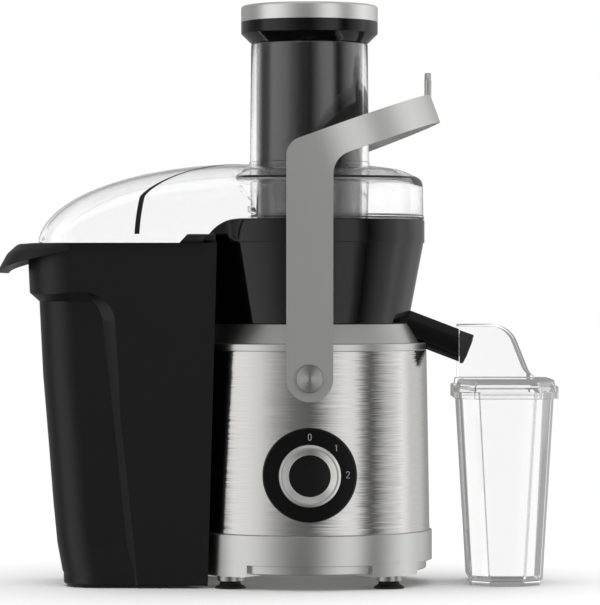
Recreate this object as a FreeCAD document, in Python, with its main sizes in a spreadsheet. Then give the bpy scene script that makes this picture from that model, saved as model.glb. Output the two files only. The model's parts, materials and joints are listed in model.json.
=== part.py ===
"""Centrifugal juicer: a free-standing motor base with a bowl, a spinning filter basket, a clear
lid with a feed chute and pusher, a locking bail, a pulp container and a juice jug.

Millimetres. The origin is on the motor axis at table height, +Z up, -Y towards the user,
+X towards the jug. Every formula reads the Dimensions sheet.
"""
import FreeCAD, Part
import math
import os
import re
import Sketcher

doc = FreeCAD.newDocument("CentrifugalJuicer")
sheet = doc.addObject("Spreadsheet::Sheet", "Dim")
sheet.Label = "Dimensions"

dimensions = {
    # feet and base
    "foot_circle": 79.0,
    "foot_radius": 10.9,
    "foot_neck": 7.0,
    "foot_height": 5.5,
    "washer_radius": 9.4,
    "washer_top": 9.0,
    "ring_bottom": 17.2,
    "ring_top": 38.6,
    "ring_radius": 88.1,
    "ring_wall": 3.6,
    "ring_lip_radius": 76.5,
    "ring_lip_top": 20.0,
    "tab_inner": 67.5,
    "tab_angle": 30.0,
    "pan_bottom": 10.8,
    "pan_radius": 76.0,
    "pan_wall": 2.5,
    # steel sleeve and collar
    "sleeve_bottom_radius": 86.4,
    "sleeve_top_radius": 84.2,
    "sleeve_top": 167.3,
    "sleeve_wall": 0.8,
    "flange_radius": 84.5,
    "flange_top": 172.5,
    "collar_radius": 79.3,
    "collar_top_radius": 71.0,
    "collar_top": 186.2,
    "collar_plate": 175.5,
    "collar_wall": 2.5,
    # motor
    "chassis_radius": 82.8,
    "chassis_wall": 3.0,
    "chassis_top": 165.5,
    "deck_bottom": 120.0,
    "deck_top": 123.0,
    "deck_hole": 49.0,
    "stator_radius": 46.0,
    "stator_inner": 39.0,
    "stator_bottom": 74.0,
    "stator_top": 110.0,
    "pole_radius": 25.3,
    "shoe_radius": 28.0,
    "pole_width": 22.0,
    "coil_height": 7.0,
    "armature_radius": 24.9,
    "shaft_radius": 4.0,
    "shaft_bottom": 38.0,
    "shaft_top": 214.0,
    "bolt_circle": 42.5,
    "bolt_radius": 2.0,
    "post_radius": 3.2,
    "lower_frame_bottom": 46.0,
    "upper_frame_bottom": 131.0,
    "upper_frame_radius": 63.0,
    "frame_plate": 3.0,
    "bearing_radius": 8.0,
    "housing_radius": 12.0,
    "mount_circle": 57.0,
    "mount_radius": 6.0,
    "commutator_radius": 11.0,
    "commutator_bottom": 52.0,
    "commutator_top": 68.0,
    "brush_centre": 60.0,
    "fan_radius": 36.0,
    "fan_bottom": 118.5,
    "running_fit": 0.05,
    # bowl and spout
    "bowl_rim_radius": 82.8,
    "bowl_rim": 260.6,
    "band_bottom": 244.0,
    "bowl_foot_radius": 71.0,
    "bowl_wall": 2.5,
    "bowl_hub_radius": 13.0,
    "bowl_hub_top": 206.0,
    "outlet_right": -49.4,
    "outlet_left": -71.5,
    "outlet_arc": 27.7,
    "lip_top": 249.6,
    "lip_left": -91.5,
    "lip_half_width": 60.0,
    "spout_slope": 20.9,
    "spout_half_width": 12.0,
    "spout_section": 22.0,
    "spout_wall": 2.2,
    "spout_start": 60.0,
    "spout_tip": 119.0,
    "spout_tip_height": 177.8,
    # filter basket
    "basket_base": 207.5,
    "basket_base_radius": 54.5,
    "basket_rim": 251.0,
    "basket_rim_radius": 71.5,
    "mesh_bottom": 210.5,
    "mesh_top": 246.0,
    "mesh_top_radius": 68.5,
    "mesh_wall": 0.6,
    "coupling_radius": 9.8,
    # lid and chute
    "lid_gap": 0.3,
    "lid_radius": 82.5,
    "lid_wall": 2.4,
    "lid_side_top": 286.0,
    "lid_centre_top": 299.3,
    "cover_left": -194.7,
    "cover_middle": -45.0,
    "cover_bottom": 243.9,
    "cover_top": 300.3,
    "cover_half_width": 73.5,
    "cover_crown": 11.0,
    "cover_corner": 32.0,
    "chute_radius": 43.3,
    "chute_top_radius": 42.0,
    "chute_inner": 39.3,
    "chute_bottom": 222.0,
    "chute_shoulder": 302.0,
    "chute_top": 387.0,
    "seal_width": 3.2,
    "seal_depth": 1.6,
    # pusher
    "pusher_radius": 38.3,
    "pusher_bottom": 224.0,
    "pusher_wall": 2.5,
    "collar_start": 387.4,
    "knob_radius": 49.2,
    "knob_side": 394.4,
    "cap_bottom": 402.7,
    "cap_top": 414.5,
    # locking bail
    "pivot_height": 148.5,
    "bail_inner": 87.0,
    "bail_thickness": 4.0,
    "leg_half_width": 16.35,
    "bail_tilt": 20.0,
    "hoop_centre": 5.0,
    "hoop_height": 309.6,
    "hoop_half_width": 10.5,
    "bail_corner": 12.0,
    "tab_left": 83.2,
    "tab_right": 87.2,
    "tab_top": 366.0,
    "tab_half_width": 15.0,
    "pin_radius": 5.0,
    "pin_cap_radius": 10.1,
    "bush_radius": 8.5,
    "cam_radius": 8.0,
    "cam_offset": 1.44,
    "cam_middle": 72.0,
    "plunger_radius": 3.0,
    # dial
    "dial_height": 81.2,
    "bezel_radius": 33.0,
    "bezel_front": 90.0,
    "dial_radius": 21.6,
    "dial_cap_radius": 14.6,
    "dial_front": 103.5,
    "dial_shaft_radius": 3.0,
    # pulp container
    "bin_rim": 243.4,
    "bin_bottom": 2.0,
    "bin_right": -65.0,
    "bin_right_bottom": -71.8,
    "bin_hollow_radius": 91.8,
    "bin_wall": 2.4,
    "bin_floor": 6.0,
    "bin_corner": 32.0,
    # jug
    "jug_centre": 139.8,
    "jug_half_bottom": 25.9,
    "jug_half_top": 33.7,
    "jug_depth_bottom": 44.0,
    "jug_depth_top": 52.0,
    "jug_chamfer": 13.0,
    "jug_rim": 138.0,
    "jug_wall": 3.0,
    "jug_floor": 5.0,
    "jug_lid_half": 36.7,
    "jug_lid_depth": 54.0,
    "jug_lid_top": 141.0,
    "jug_skirt": 133.0,
    "hood_left": 104.2,
    "hood_top": 185.7,
    "hood_flat_end": 129.0,
    "hood_right": 160.0,
    "hood_half_width": 22.0,
    "hood_wall": 1.6,
}
for row, (alias, value) in enumerate(dimensions.items(), start=1):
    sheet.set(f"A{row}", alias)
    sheet.set(f"B{row}", str(value))
    sheet.setAlias(f"B{row}", alias)
doc.recompute()

nodes = {}
word = re.compile(r"[a-z_]+")


# ---- formulas, sketches and primitives ----


def formula(text):
    """The expression with each of the sheet's names given its full form."""
    return word.sub(lambda found: "Dim." + found[0] if found[0] in dimensions else found[0], str(text))


def number(text):
    return float(sheet.evalExpression(formula(text)))


def bind(item, **sizes):
    for name, text in sizes.items():
        item.setExpression(name, formula(text))


def place(item, x=0, y=0, z=0, axis=(0, 0, 1), angle=0):
    """Puts an object at formulas for x, y and z, turned by an angle about an axis."""
    item.Placement = FreeCAD.Placement(
        FreeCAD.Vector(0, 0, 0), FreeCAD.Rotation(FreeCAD.Vector(*axis), number(angle))
    )
    for name, text in (("x", x), ("y", y), ("z", z)):
        item.setExpression(f".Placement.Base.{name}", formula(text))
    return item


def node(name, item):
    """Makes an object one of the juicer's own pieces, under its node's name."""
    item.Label = name
    nodes[name] = item
    return item


def arc_through(start, end, radius):
    """A sketch arc between two points that bulges left of the way for a positive radius."""
    chord = end - start
    side = FreeCAD.Vector(-chord.y, chord.x, 0).normalize()
    rise = abs(radius) - math.sqrt(max(radius**2 - (chord.Length / 2) ** 2, 0))
    crown = (start + end) / 2 + side * math.copysign(rise, radius)
    return Part.Arc(start, crown, end)


def draw(sketch, outline):
    """Draws a closed outline of (x, y) or (x, y, arc radius) formulas, with every point bound."""
    points = [FreeCAD.Vector(number(p[0]), number(p[1]), 0) for p in outline]
    ends = []
    for i, corner in enumerate(outline):
        start, end = points[i], points[(i + 1) % len(points)]
        if len(corner) == 3:
            sketch.addGeometry(arc_through(start, end, number(corner[2])), False)
            ends.append((2, 1) if number(corner[2]) > 0 else (1, 2))
        else:
            sketch.addGeometry(Part.LineSegment(start, end), False)
            ends.append((1, 2))
    for i, corner in enumerate(outline):
        following = (i + 1) % len(outline)
        sketch.addConstraint(Sketcher.Constraint("Coincident", i, ends[i][1], following, ends[following][0]))
        spans = (("DistanceX", corner[0], points[i].x), ("DistanceY", corner[1], points[i].y))
        for kind, text, value in spans:
            index = sketch.addConstraint(Sketcher.Constraint(kind, i, ends[i][0], value))
            sketch.setExpression(f"Constraints[{index}]", formula(text))
        if len(corner) == 3:
            size = abs(number(corner[2]))
            index = sketch.addConstraint(Sketcher.Constraint("Radius", i, size))
            sketch.setExpression(f"Constraints[{index}]", formula(f"abs({corner[2]})"))
    return sketch


def turned(name, outline):
    """A PartDesign body turned about Z from an outline of (radius, height)."""
    body = doc.addObject("PartDesign::Body", name)
    sketch = body.newObject("Sketcher::SketchObject", name + "_profile")
    planes = {feature.Role: feature for feature in body.Origin.OriginFeatures}
    sketch.AttachmentSupport = (planes["XZ_Plane"], "")
    sketch.MapMode = "FlatFace"
    draw(sketch, outline)
    turn = body.newObject("PartDesign::Revolution", name + "_turn")
    turn.Profile = sketch
    turn.ReferenceAxis = (sketch, ["V_Axis"])
    turn.Angle = 360
    sketch.Visibility = False
    return body


def flat_sketch(name, outline, height="0"):
    """A free sketch parallel to the table."""
    sketch = doc.addObject("Sketcher::SketchObject", name)
    place(sketch, z=height)
    return draw(sketch, outline)


def across_sketch(name, outline, x):
    """A free sketch of (y, z) points, square to X."""
    sketch = doc.addObject("Sketcher::SketchObject", name)
    sketch.Placement.Rotation = FreeCAD.Rotation(
        FreeCAD.Vector(0, 1, 0), FreeCAD.Vector(0, 0, 1), FreeCAD.Vector(1, 0, 0), "XYZ"
    )
    sketch.setExpression(".Placement.Base.x", formula(x))
    return draw(sketch, outline)


def side_plate(name, outline, depth, y="0"):
    """An outline of (x, z) points made solid along Y, centred on y."""
    sketch = doc.addObject("Sketcher::SketchObject", name + "_outline")
    place(sketch, y=y, axis=(1, 0, 0), angle=90)
    draw(sketch, outline)
    plate = doc.addObject("Part::Extrusion", name)
    plate.Base = sketch
    plate.DirMode = "Normal"
    plate.Solid = True
    plate.Symmetric = True
    bind(plate, LengthFwd=depth)
    return plate


def loft(name, sections):
    solid = doc.addObject("Part::Loft", name)
    solid.Sections = sections
    solid.Solid = True
    solid.Ruled = True
    return solid


def box(name, length, width, height, x, y, z, **turn):
    item = doc.addObject("Part::Box", name)
    bind(item, Length=length, Width=width, Height=height)
    return place(item, x, y, z, **turn)


def cylinder(name, radius, height, x=0, y=0, z=0, sweep=360, **turn):
    item = doc.addObject("Part::Cylinder", name)
    bind(item, Radius=radius, Height=height, Angle=sweep)
    return place(item, x, y, z, **turn)


def rod(name, radius, start, end, x=0, z=0):
    """A cylinder along Y from start to end, where end is further back than start."""
    return cylinder(name, radius, f"({end}) - ({start})", x, start, z, axis=(1, 0, 0), angle=-90)


def cut(name, base, tool):
    item = doc.addObject("Part::Cut", name)
    item.Base = base
    item.Tool = tool
    return item


def fuse(name, *shapes):
    item = doc.addObject("Part::MultiFuse", name)
    item.Shapes = list(shapes)
    return item


def common(name, *shapes):
    item = doc.addObject("Part::MultiCommon", name)
    item.Shapes = list(shapes)
    return item


def group(name, shapes):
    """Separate solids that share one node."""
    item = doc.addObject("Part::Compound", name)
    item.Links = list(shapes)
    return item


def around(count, radius, first=0):
    """The (x, y, angle) formulas of places spaced evenly round the motor axis."""
    angles = [first + 360 * i / count for i in range(count)]
    return [(f"({radius}) * cos({a})", f"({radius}) * sin({a})", a) for a in angles]


def posts(name, radius, bottom, top, places):
    """Upright cylinders at some places, as one tool or one group."""
    items = [
        cylinder(f"{name}_{i}", radius, f"({top}) - ({bottom})", x, y, bottom)
        for i, (x, y, _) in enumerate(places)
    ]
    return group(name, items)


def sectors(name, inner, outer, bottom, top, angle, count, first):
    """Equal pieces of a flat ring, each centred on its own direction."""
    height = f"({top}) - ({bottom})"
    starts = [f"{first + 360 * i / count} - ({angle}) / 2" for i in range(count)]
    wedges = [
        cylinder(f"{name}_{i}", outer, height, z=bottom, sweep=angle, angle=start)
        for i, start in enumerate(starts)
    ]
    return cut(name, group(name + "_wedges", wedges), cylinder(name + "_core", inner, height, z=bottom))


# ---- feet and base ----


feet_places = around(4, "foot_circle", first=45)


def make_base():
    ring = turned("base_ring_body", [
        ("ring_lip_radius", "ring_bottom"),
        ("ring_radius - 1", "ring_bottom"),
        ("ring_radius", "ring_bottom + 1"),
        ("ring_radius", "ring_top - 1"),
        ("ring_radius - 1", "ring_top"),
        ("ring_radius - 8", "ring_top"),
        ("ring_radius - 8", "ring_top - 2.5"),
        ("ring_radius - ring_wall", "ring_top - 2.5"),
        ("ring_radius - ring_wall", "ring_lip_top"),
        ("ring_lip_radius", "ring_lip_top"),
    ])
    tabs = sectors("foot_tabs", "tab_inner", "ring_radius", "washer_top", "ring_lip_top", "tab_angle", 4, 45)
    foot_holes = posts("foot_holes", "1.75", "washer_top", "ring_lip_top", feet_places)
    pan_places = around(4, "80")
    pan_holes = posts("pan_holes", "1.5", "ring_bottom", "ring_lip_top", pan_places)
    solid = fuse("base_ring_solid", ring, tabs)
    node("base_ring", cut("base_ring", solid, group("ring_holes", [foot_holes, pan_holes])))

    pan = turned("pan_body", [
        ("0", "pan_bottom"),
        ("pan_radius", "pan_bottom"),
        ("pan_radius", "ring_lip_top"),
        ("ring_radius - ring_wall - 0.5", "ring_lip_top"),
        ("ring_radius - ring_wall - 0.5", "ring_lip_top + 2"),
        ("pan_radius - pan_wall", "ring_lip_top + 2"),
        ("pan_radius - pan_wall", "pan_bottom + pan_wall"),
        ("0", "pan_bottom + pan_wall"),
    ])
    notches = sectors("pan_notches", "tab_inner - 0.3", "ring_lip_radius", "pan_bottom - 1", "ring_lip_top",
                      "tab_angle + 1", 4, 45)
    vents = [
        box(f"pan_vent_{i}", "22", "4", "pan_wall + 2", x, y, "pan_bottom - 1", angle=a)
        for i, (x, y, a) in enumerate(around(12, "28", first=15))
    ]
    through = posts("pan_flange_holes", "1.5", "ring_lip_top", "ring_lip_top + 2", pan_places)
    node("bottom_pan", cut("bottom_pan", pan, group("pan_tools", [notches, through] + vents)))

    names = ["foot_back_right", "foot_back_left", "foot_front_left", "foot_front_right"]
    for name, (x, y, _) in zip(names, feet_places):
        foot = turned(name + "_body", [
            ("4.4", "0"),
            ("foot_radius", "0"),
            ("foot_radius", "0.8"),
            ("foot_neck", "foot_height"),
            ("2.2", "foot_height"),
            ("2.2", "2.5"),
            ("4.4", "2.5"),
        ])
        node(name, place(foot, x, y))
    washers = posts("washer_discs", "washer_radius", "foot_height", "washer_top", feet_places)
    bores = posts("washer_bores", "2.2", "foot_height", "washer_top", feet_places)
    node("foot_washers", cut("foot_washers", washers, bores))
    shanks = posts("foot_shanks", "1.75", "2.5", "ring_lip_top", feet_places)
    heads = posts("foot_heads", "4", "0.8", "2.5", feet_places)
    node("foot_screws", fuse("foot_screws", shanks, heads))
    shanks = posts("pan_shanks", "1.5", "ring_bottom", "ring_lip_top + 2", pan_places)
    heads = posts("pan_heads", "3", "ring_lip_top + 2", "ring_lip_top + 4", pan_places)
    node("pan_screws", fuse("pan_screws", shanks, heads))


def make_shells():
    """The steel sleeve, the chassis inside it and the silver collar on top."""
    sleeve = turned("sleeve_body", [
        ("sleeve_bottom_radius - sleeve_wall", "ring_top"),
        ("sleeve_bottom_radius", "ring_top"),
        ("sleeve_top_radius", "sleeve_top"),
        ("sleeve_top_radius - sleeve_wall", "sleeve_top"),
    ])
    dial_hole = rod("dial_hole", "6", "-ring_radius", "-70", z="dial_height")
    pivot_hole = rod("pivot_hole", "bush_radius", "-ring_radius", "ring_radius", z="pivot_height")
    gland_hole = rod("gland_hole", "9", "70", "ring_radius", z="55")
    holes = group("shell_holes", [dial_hole, pivot_hole, gland_hole])
    node("steel_sleeve", cut("steel_sleeve", sleeve, holes))

    chassis = turned("chassis_body", [
        ("chassis_radius", "ring_top"),
        ("chassis_radius", "chassis_top"),
        ("chassis_radius - chassis_wall", "chassis_top"),
        ("chassis_radius - chassis_wall", "deck_top"),
        ("deck_hole", "deck_top"),
        ("deck_hole", "deck_bottom"),
        ("chassis_radius - chassis_wall", "deck_bottom"),
        ("chassis_radius - chassis_wall", "ring_top"),
    ])
    screw_holes = posts("deck_holes", "bolt_radius", "deck_bottom", "deck_top", around(4, "mount_circle", 45))
    node("inner_chassis", cut("inner_chassis", chassis, group("chassis_tools", [holes, screw_holes])))

    collar = turned("collar_body", [
        ("flange_radius - 3", "sleeve_top"),
        ("flange_radius", "sleeve_top"),
        ("flange_radius", "flange_top"),
        ("collar_radius", "flange_top"),
        ("collar_top_radius", "collar_top"),
        ("collar_top_radius - collar_wall", "collar_top"),
        ("collar_top_radius - collar_wall", "collar_plate + collar_wall"),
        ("bowl_hub_radius", "collar_plate + collar_wall"),
        ("bowl_hub_radius", "collar_plate"),
        ("collar_radius - 5", "collar_plate"),
        ("collar_radius - 3", "flange_top - 2.2"),
        ("flange_radius - 3", "flange_top - 2.2"),
    ])
    notch = spout_bar("spout_notch", "spout_half_width + 0.5", "spout_section / 2 + 0.5", "0.5", "0")
    above = box("spout_gap", "flange_radius - spout_start", "2 * spout_half_width + 1", "20",
                "spout_start", "-spout_half_width - 0.5", "collar_plate + 1")
    node("top_collar", cut("top_collar", collar, group("collar_tools", [notch, above])))
    seal = turned("shaft_seal_body", [
        ("shaft_radius + running_fit", "collar_plate - 1"),
        ("bowl_hub_radius - 4", "collar_plate - 1"),
        ("bowl_hub_radius", "collar_plate"),
        ("bowl_hub_radius", "collar_plate + collar_wall"),
        ("shaft_radius + running_fit", "collar_plate + collar_wall + 2"),
    ])
    node("shaft_seal", seal)
    gland = turned("gland_body", [
        ("3.6", "70"),
        ("9", "70"),
        ("9", "ring_radius - 1.5"),
        ("12", "ring_radius - 1.5"),
        ("12", "ring_radius + 1.5"),
        ("3.6", "ring_radius + 1.5"),
    ])
    node("cord_gland", place(gland, z="55", axis=(1, 0, 0), angle=-90))


# ---- motor ----


def make_motor():
    centre = "(stator_top - stator_bottom)"
    stack = cylinder("stator_stack", "stator_radius", centre, z="stator_bottom")
    bore = cylinder("stator_bore", "stator_inner", centre, z="stator_bottom")
    yoke = cut("stator_yoke", stack, bore)
    pole = box("stator_pole", "pole_width", "2 * stator_inner + 4", centre,
               "-pole_width / 2", "-stator_inner - 2", "stator_bottom")
    shoes = sectors("stator_shoes", "pole_radius", "shoe_radius", "stator_bottom", "stator_top", "110", 2, 90)
    inside = cylinder("rotor_space", "pole_radius", centre, z="stator_bottom")
    bolts = around(2, "bolt_circle")
    bolt_holes = posts("stator_holes", "bolt_radius", "stator_bottom", "stator_top", bolts)
    core = fuse("stator_solid", yoke, pole, shoes)
    node("stator_core", cut("stator_core", core, group("stator_tools", [inside, bolt_holes])))

    coils = []
    for name, y in (("back", "shoe_radius + 0.2"), ("front", "-shoe_radius - 5.7")):
        outer = box(f"coil_{name}", "pole_width + 14", "5.5", f"{centre} + 2 * coil_height",
                    "-pole_width / 2 - 7", y, "stator_bottom - coil_height")
        inner = box(f"coil_{name}_gap", "pole_width", "5.5", centre, "-pole_width / 2", y, "stator_bottom")
        coils.append(cut(f"coil_{name}_turns", outer, inner))
    node("field_windings", group("field_windings", coils))

    lower = turned("lower_frame_body", [
        ("bearing_radius", "lower_frame_bottom - 5"),
        ("housing_radius", "lower_frame_bottom - 5"),
        ("housing_radius", "lower_frame_bottom"),
        ("stator_radius", "lower_frame_bottom"),
        ("stator_radius", "lower_frame_bottom + frame_plate"),
        ("bearing_radius", "lower_frame_bottom + frame_plate"),
    ])
    plate_top = "lower_frame_bottom + frame_plate"
    lower_posts = posts("lower_posts", "post_radius", plate_top, "stator_bottom", bolts)
    upper = turned("upper_frame_body", [
        ("bearing_radius", "upper_frame_bottom"),
        ("upper_frame_radius", "upper_frame_bottom"),
        ("upper_frame_radius", "upper_frame_bottom + frame_plate"),
        ("housing_radius", "upper_frame_bottom + frame_plate"),
        ("housing_radius", "upper_frame_bottom + 14"),
        ("bearing_radius", "upper_frame_bottom + 14"),
    ])
    upper_posts = posts("upper_posts", "post_radius", "stator_top", "upper_frame_bottom", bolts)
    mounts = around(4, "mount_circle", 45)
    bolt_low = "lower_frame_bottom"
    bolt_high = "upper_frame_bottom + frame_plate"
    low_holes = posts("lower_frame_holes", "bolt_radius", bolt_low, "stator_bottom", bolts)
    high_holes = posts("upper_frame_holes", "bolt_radius", "stator_top", bolt_high, bolts)
    mount_holes = posts("upper_mount_holes", "bolt_radius", "upper_frame_bottom", bolt_high, mounts)
    lower_solid = fuse("lower_frame_solid", lower, lower_posts)
    upper_solid = fuse("upper_frame_solid", upper, upper_posts)
    node("lower_motor_frame", cut("lower_motor_frame", lower_solid, low_holes))
    upper_tools = group("upper_tools", [high_holes, mount_holes])
    node("upper_motor_frame", cut("upper_motor_frame", upper_solid, upper_tools))
    shanks = posts("bolt_shanks", "bolt_radius", bolt_low, bolt_high, bolts)
    heads = posts("bolt_heads", "4", bolt_high, f"{bolt_high} + 3", bolts)
    nuts = posts("bolt_nuts", "4", "lower_frame_bottom - 3", bolt_low, bolts)
    node("motor_bolts", fuse("motor_bolts", shanks, heads, nuts))

    rubbers = posts("mount_discs", "mount_radius", "deck_top", "upper_frame_bottom", mounts)
    bores = posts("mount_bores", "bolt_radius", "deck_top", "upper_frame_bottom", mounts)
    node("motor_mounts", cut("motor_mounts", rubbers, bores))
    shanks = posts("mount_shanks", "bolt_radius", "deck_bottom", bolt_high, mounts)
    heads = posts("mount_heads", "4", bolt_high, f"{bolt_high} + 2.4", mounts)
    node("mount_screws", fuse("mount_screws", shanks, heads))

    for name, bottom, length in (("lower_bearing", "lower_frame_bottom - 5", "8"),
                                 ("upper_bearing", "upper_frame_bottom + 4", "9")):
        node(name, turned(name + "_body", [
            ("shaft_radius + running_fit", bottom),
            ("bearing_radius", bottom),
            ("bearing_radius", f"{bottom} + {length}"),
            ("shaft_radius + running_fit", f"{bottom} + {length}"),
        ]))

    holders, brushes = [], []
    base = "lower_frame_bottom + frame_plate"
    for name, near, far in (("back", "commutator_radius + 3", "commutator_radius + 23"),
                            ("front", "-commutator_radius - 23", "-commutator_radius - 3")):
        depth = f"({far}) - ({near})"
        block = box(f"holder_{name}", "12", depth, f"brush_centre + 6 - ({base})", "-6", near, base)
        slot = box(f"holder_{name}_slot", "6", f"({far}) - ({near})", "8", "-3", near, "brush_centre - 4")
        holders.append(cut(f"holder_{name}_block", block, slot))
    for name, y in (("back", "commutator_radius + 0.1"), ("front", "-commutator_radius - 14.1")):
        brushes.append(box(f"brush_{name}", "6", "14", "8", "-3", y, "brush_centre - 4"))
    node("brush_holders", group("brush_holders", holders))
    node("carbon_brushes", group("carbon_brushes", brushes))


def make_rotor():
    shaft = turned("shaft_body", [
        ("0", "shaft_bottom"),
        ("shaft_radius - 0.5", "shaft_bottom"),
        ("shaft_radius", "shaft_bottom + 0.5"),
        ("shaft_radius", "shaft_top - 1"),
        ("shaft_radius - 1", "shaft_top"),
        ("0", "shaft_top"),
    ])
    node("motor_shaft", shaft)
    height = "stator_top - stator_bottom"
    slots = around(12, "armature_radius - 4.5")
    stack = cylinder("armature_stack", "armature_radius", height, z="stator_bottom")
    bore = cylinder("armature_bore", "shaft_radius", height, z="stator_bottom")
    wire_holes = posts("armature_slots", "2.4", "stator_bottom", "stator_top", slots)
    mouths = [
        box(f"slot_mouth_{i}", "6", "1.2", height, x, y, "stator_bottom", angle=a)
        for i, (x, y, a) in enumerate(slots)
    ]
    node("armature_core", cut("armature_core", stack, group("armature_tools", [bore, wire_holes] + mouths)))
    wires = posts("slot_wires", "2.4", "stator_bottom", "stator_top", slots)
    ends = [
        turned(f"{name}_body", [("shaft_radius + 3", low), ("armature_radius - 2", low),
                                ("armature_radius - 2", high), ("shaft_radius + 3", high)])
        for name, low, high in (("lower_end_turns", "commutator_top + 0.5", "stator_bottom"),
                                ("upper_end_turns", "stator_top", "stator_top + coil_height"))
    ]
    node("armature_windings", fuse("armature_windings", wires, *ends))

    drum = turned("commutator_body", [
        ("shaft_radius", "commutator_bottom"),
        ("commutator_radius", "commutator_bottom"),
        ("commutator_radius", "commutator_top - 2"),
        ("commutator_radius + 1.5", "commutator_top"),
        ("shaft_radius", "commutator_top"),
    ])
    bar_height = "commutator_top - commutator_bottom"
    gaps = [
        box(f"bar_gap_{i}", "6", "0.5", bar_height, x, y, "commutator_bottom", angle=a)
        for i, (x, y, a) in enumerate(around(16, "commutator_radius - 1.2"))
    ]
    node("commutator", cut("commutator", drum, group("bar_gaps", gaps)))

    hub = turned("fan_body", [
        ("shaft_radius", "fan_bottom"),
        ("fan_radius", "fan_bottom"),
        ("fan_radius", "fan_bottom + 1.5"),
        ("shaft_radius + 4", "fan_bottom + 1.5"),
        ("shaft_radius + 4", "fan_bottom + 10"),
        ("shaft_radius", "fan_bottom + 10"),
    ])
    blades = [
        box(f"fan_blade_{i}", "fan_radius - 8", "1.5", "9", x, y, "fan_bottom + 1", angle=a)
        for i, (x, y, a) in enumerate(around(9, "7"))
    ]
    node("cooling_fan", fuse("cooling_fan", hub, *blades))

    node("drive_coupling", turned("coupling_body", [
        ("shaft_radius", "collar_top + 4"),
        ("coupling_radius", "collar_top + 4"),
        ("coupling_radius", "basket_base - 1"),
        ("coupling_radius - 2.8", "basket_base - 1"),
        ("coupling_radius - 2.8", "shaft_top - 1"),
        ("shaft_radius", "shaft_top - 1"),
    ]))


def make_basket():
    frame = turned("basket_body", [
        ("coupling_radius - 2.8", "basket_base"),
        ("basket_base_radius + 2", "basket_base"),
        ("mesh_top_radius + mesh_wall + 1.8", "mesh_top"),
        ("basket_rim_radius", "mesh_top"),
        ("basket_rim_radius", "basket_rim"),
        ("mesh_top_radius - 1", "basket_rim"),
        ("mesh_top_radius - 1", "mesh_top"),
        ("mesh_top_radius + mesh_wall", "mesh_top"),
        ("basket_base_radius + mesh_wall", "mesh_bottom"),
        ("coupling_radius + 4", "mesh_bottom"),
        ("coupling_radius + 2", "mesh_bottom + 6"),
        ("coupling_radius - 2.8", "mesh_bottom + 6"),
    ])
    windows = sectors("basket_windows", "basket_base_radius - 4", "basket_rim_radius + 5",
                      "mesh_bottom + 2", "mesh_top - 2", "52", 6, 30)
    node("basket_frame", cut("basket_frame", frame, windows))
    node("filter_mesh", turned("mesh_body", [
        ("basket_base_radius", "mesh_bottom"),
        ("basket_base_radius + mesh_wall", "mesh_bottom"),
        ("mesh_top_radius + mesh_wall", "mesh_top"),
        ("mesh_top_radius", "mesh_top"),
    ]))
    node("grater_disc", turned("grater_body", [
        ("coupling_radius + 4.2", "mesh_bottom"),
        ("basket_base_radius - 1", "mesh_bottom"),
        ("basket_base_radius - 1", "mesh_bottom + 0.8"),
        ("basket_base_radius - 10", "mesh_bottom + 1.6"),
        ("coupling_radius + 4.2", "mesh_bottom + 1.6"),
    ]))


# ---- bowl and spout ----


def spout_bar(name, half_width, half_section, before, after):
    """A straight eight-sided bar along the spout's slope, longer by before and after at its ends."""
    corner = "spout_half_width * 0.45"
    a, b = half_width, half_section
    outline = [
        (f"-({a})", f"-({b}) + {corner}"),
        (f"-({a}) + {corner}", f"-({b})"),
        (f"({a}) - {corner}", f"-({b})"),
        (f"{a}", f"-({b}) + {corner}"),
        (f"{a}", f"({b}) - {corner}"),
        (f"({a}) - {corner}", f"{b}"),
        (f"-({a}) + {corner}", f"{b}"),
        (f"-({a})", f"({b}) - {corner}"),
    ]
    sketch = doc.addObject("Sketcher::SketchObject", name + "_section")
    # the section's own x runs along Y, its y up the slope's normal, and it points down the spout
    slope = math.radians(number("spout_slope"))
    sketch.Placement.Rotation = FreeCAD.Rotation(
        FreeCAD.Vector(0, 1, 0),
        FreeCAD.Vector(math.sin(slope), 0, math.cos(slope)),
        FreeCAD.Vector(math.cos(slope), 0, -math.sin(slope)),
        "ZXY",
    )
    reach = f"(spout_tip - spout_start) / cos(spout_slope) + ({before})"
    sketch.setExpression(".Placement.Base.x", formula(
        f"spout_tip - spout_section / 2 * sin(spout_slope) - ({reach}) * cos(spout_slope)"))
    sketch.setExpression(".Placement.Base.z", formula(
        f"spout_tip_height - spout_section / 2 * cos(spout_slope) + ({reach}) * sin(spout_slope)"))
    draw(sketch, outline)
    bar = doc.addObject("Part::Extrusion", name)
    bar.Base = sketch
    bar.DirMode = "Normal"
    bar.Solid = True
    bind(bar, LengthFwd=f"{reach} + ({after})")
    return bar


def outlet_cut(name, depth):
    """The space over the bowl's lowered rim, left of the arc that both bowl and lid follow."""
    return side_plate(name, [
        ("outlet_right", "bowl_rim + 3"),
        ("outlet_right", "bowl_rim", "-outlet_arc"),
        ("outlet_left", "lip_top"),
        ("lip_left - 10", "lip_top"),
        ("lip_left - 10", "bowl_rim + 3"),
    ], depth)


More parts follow.
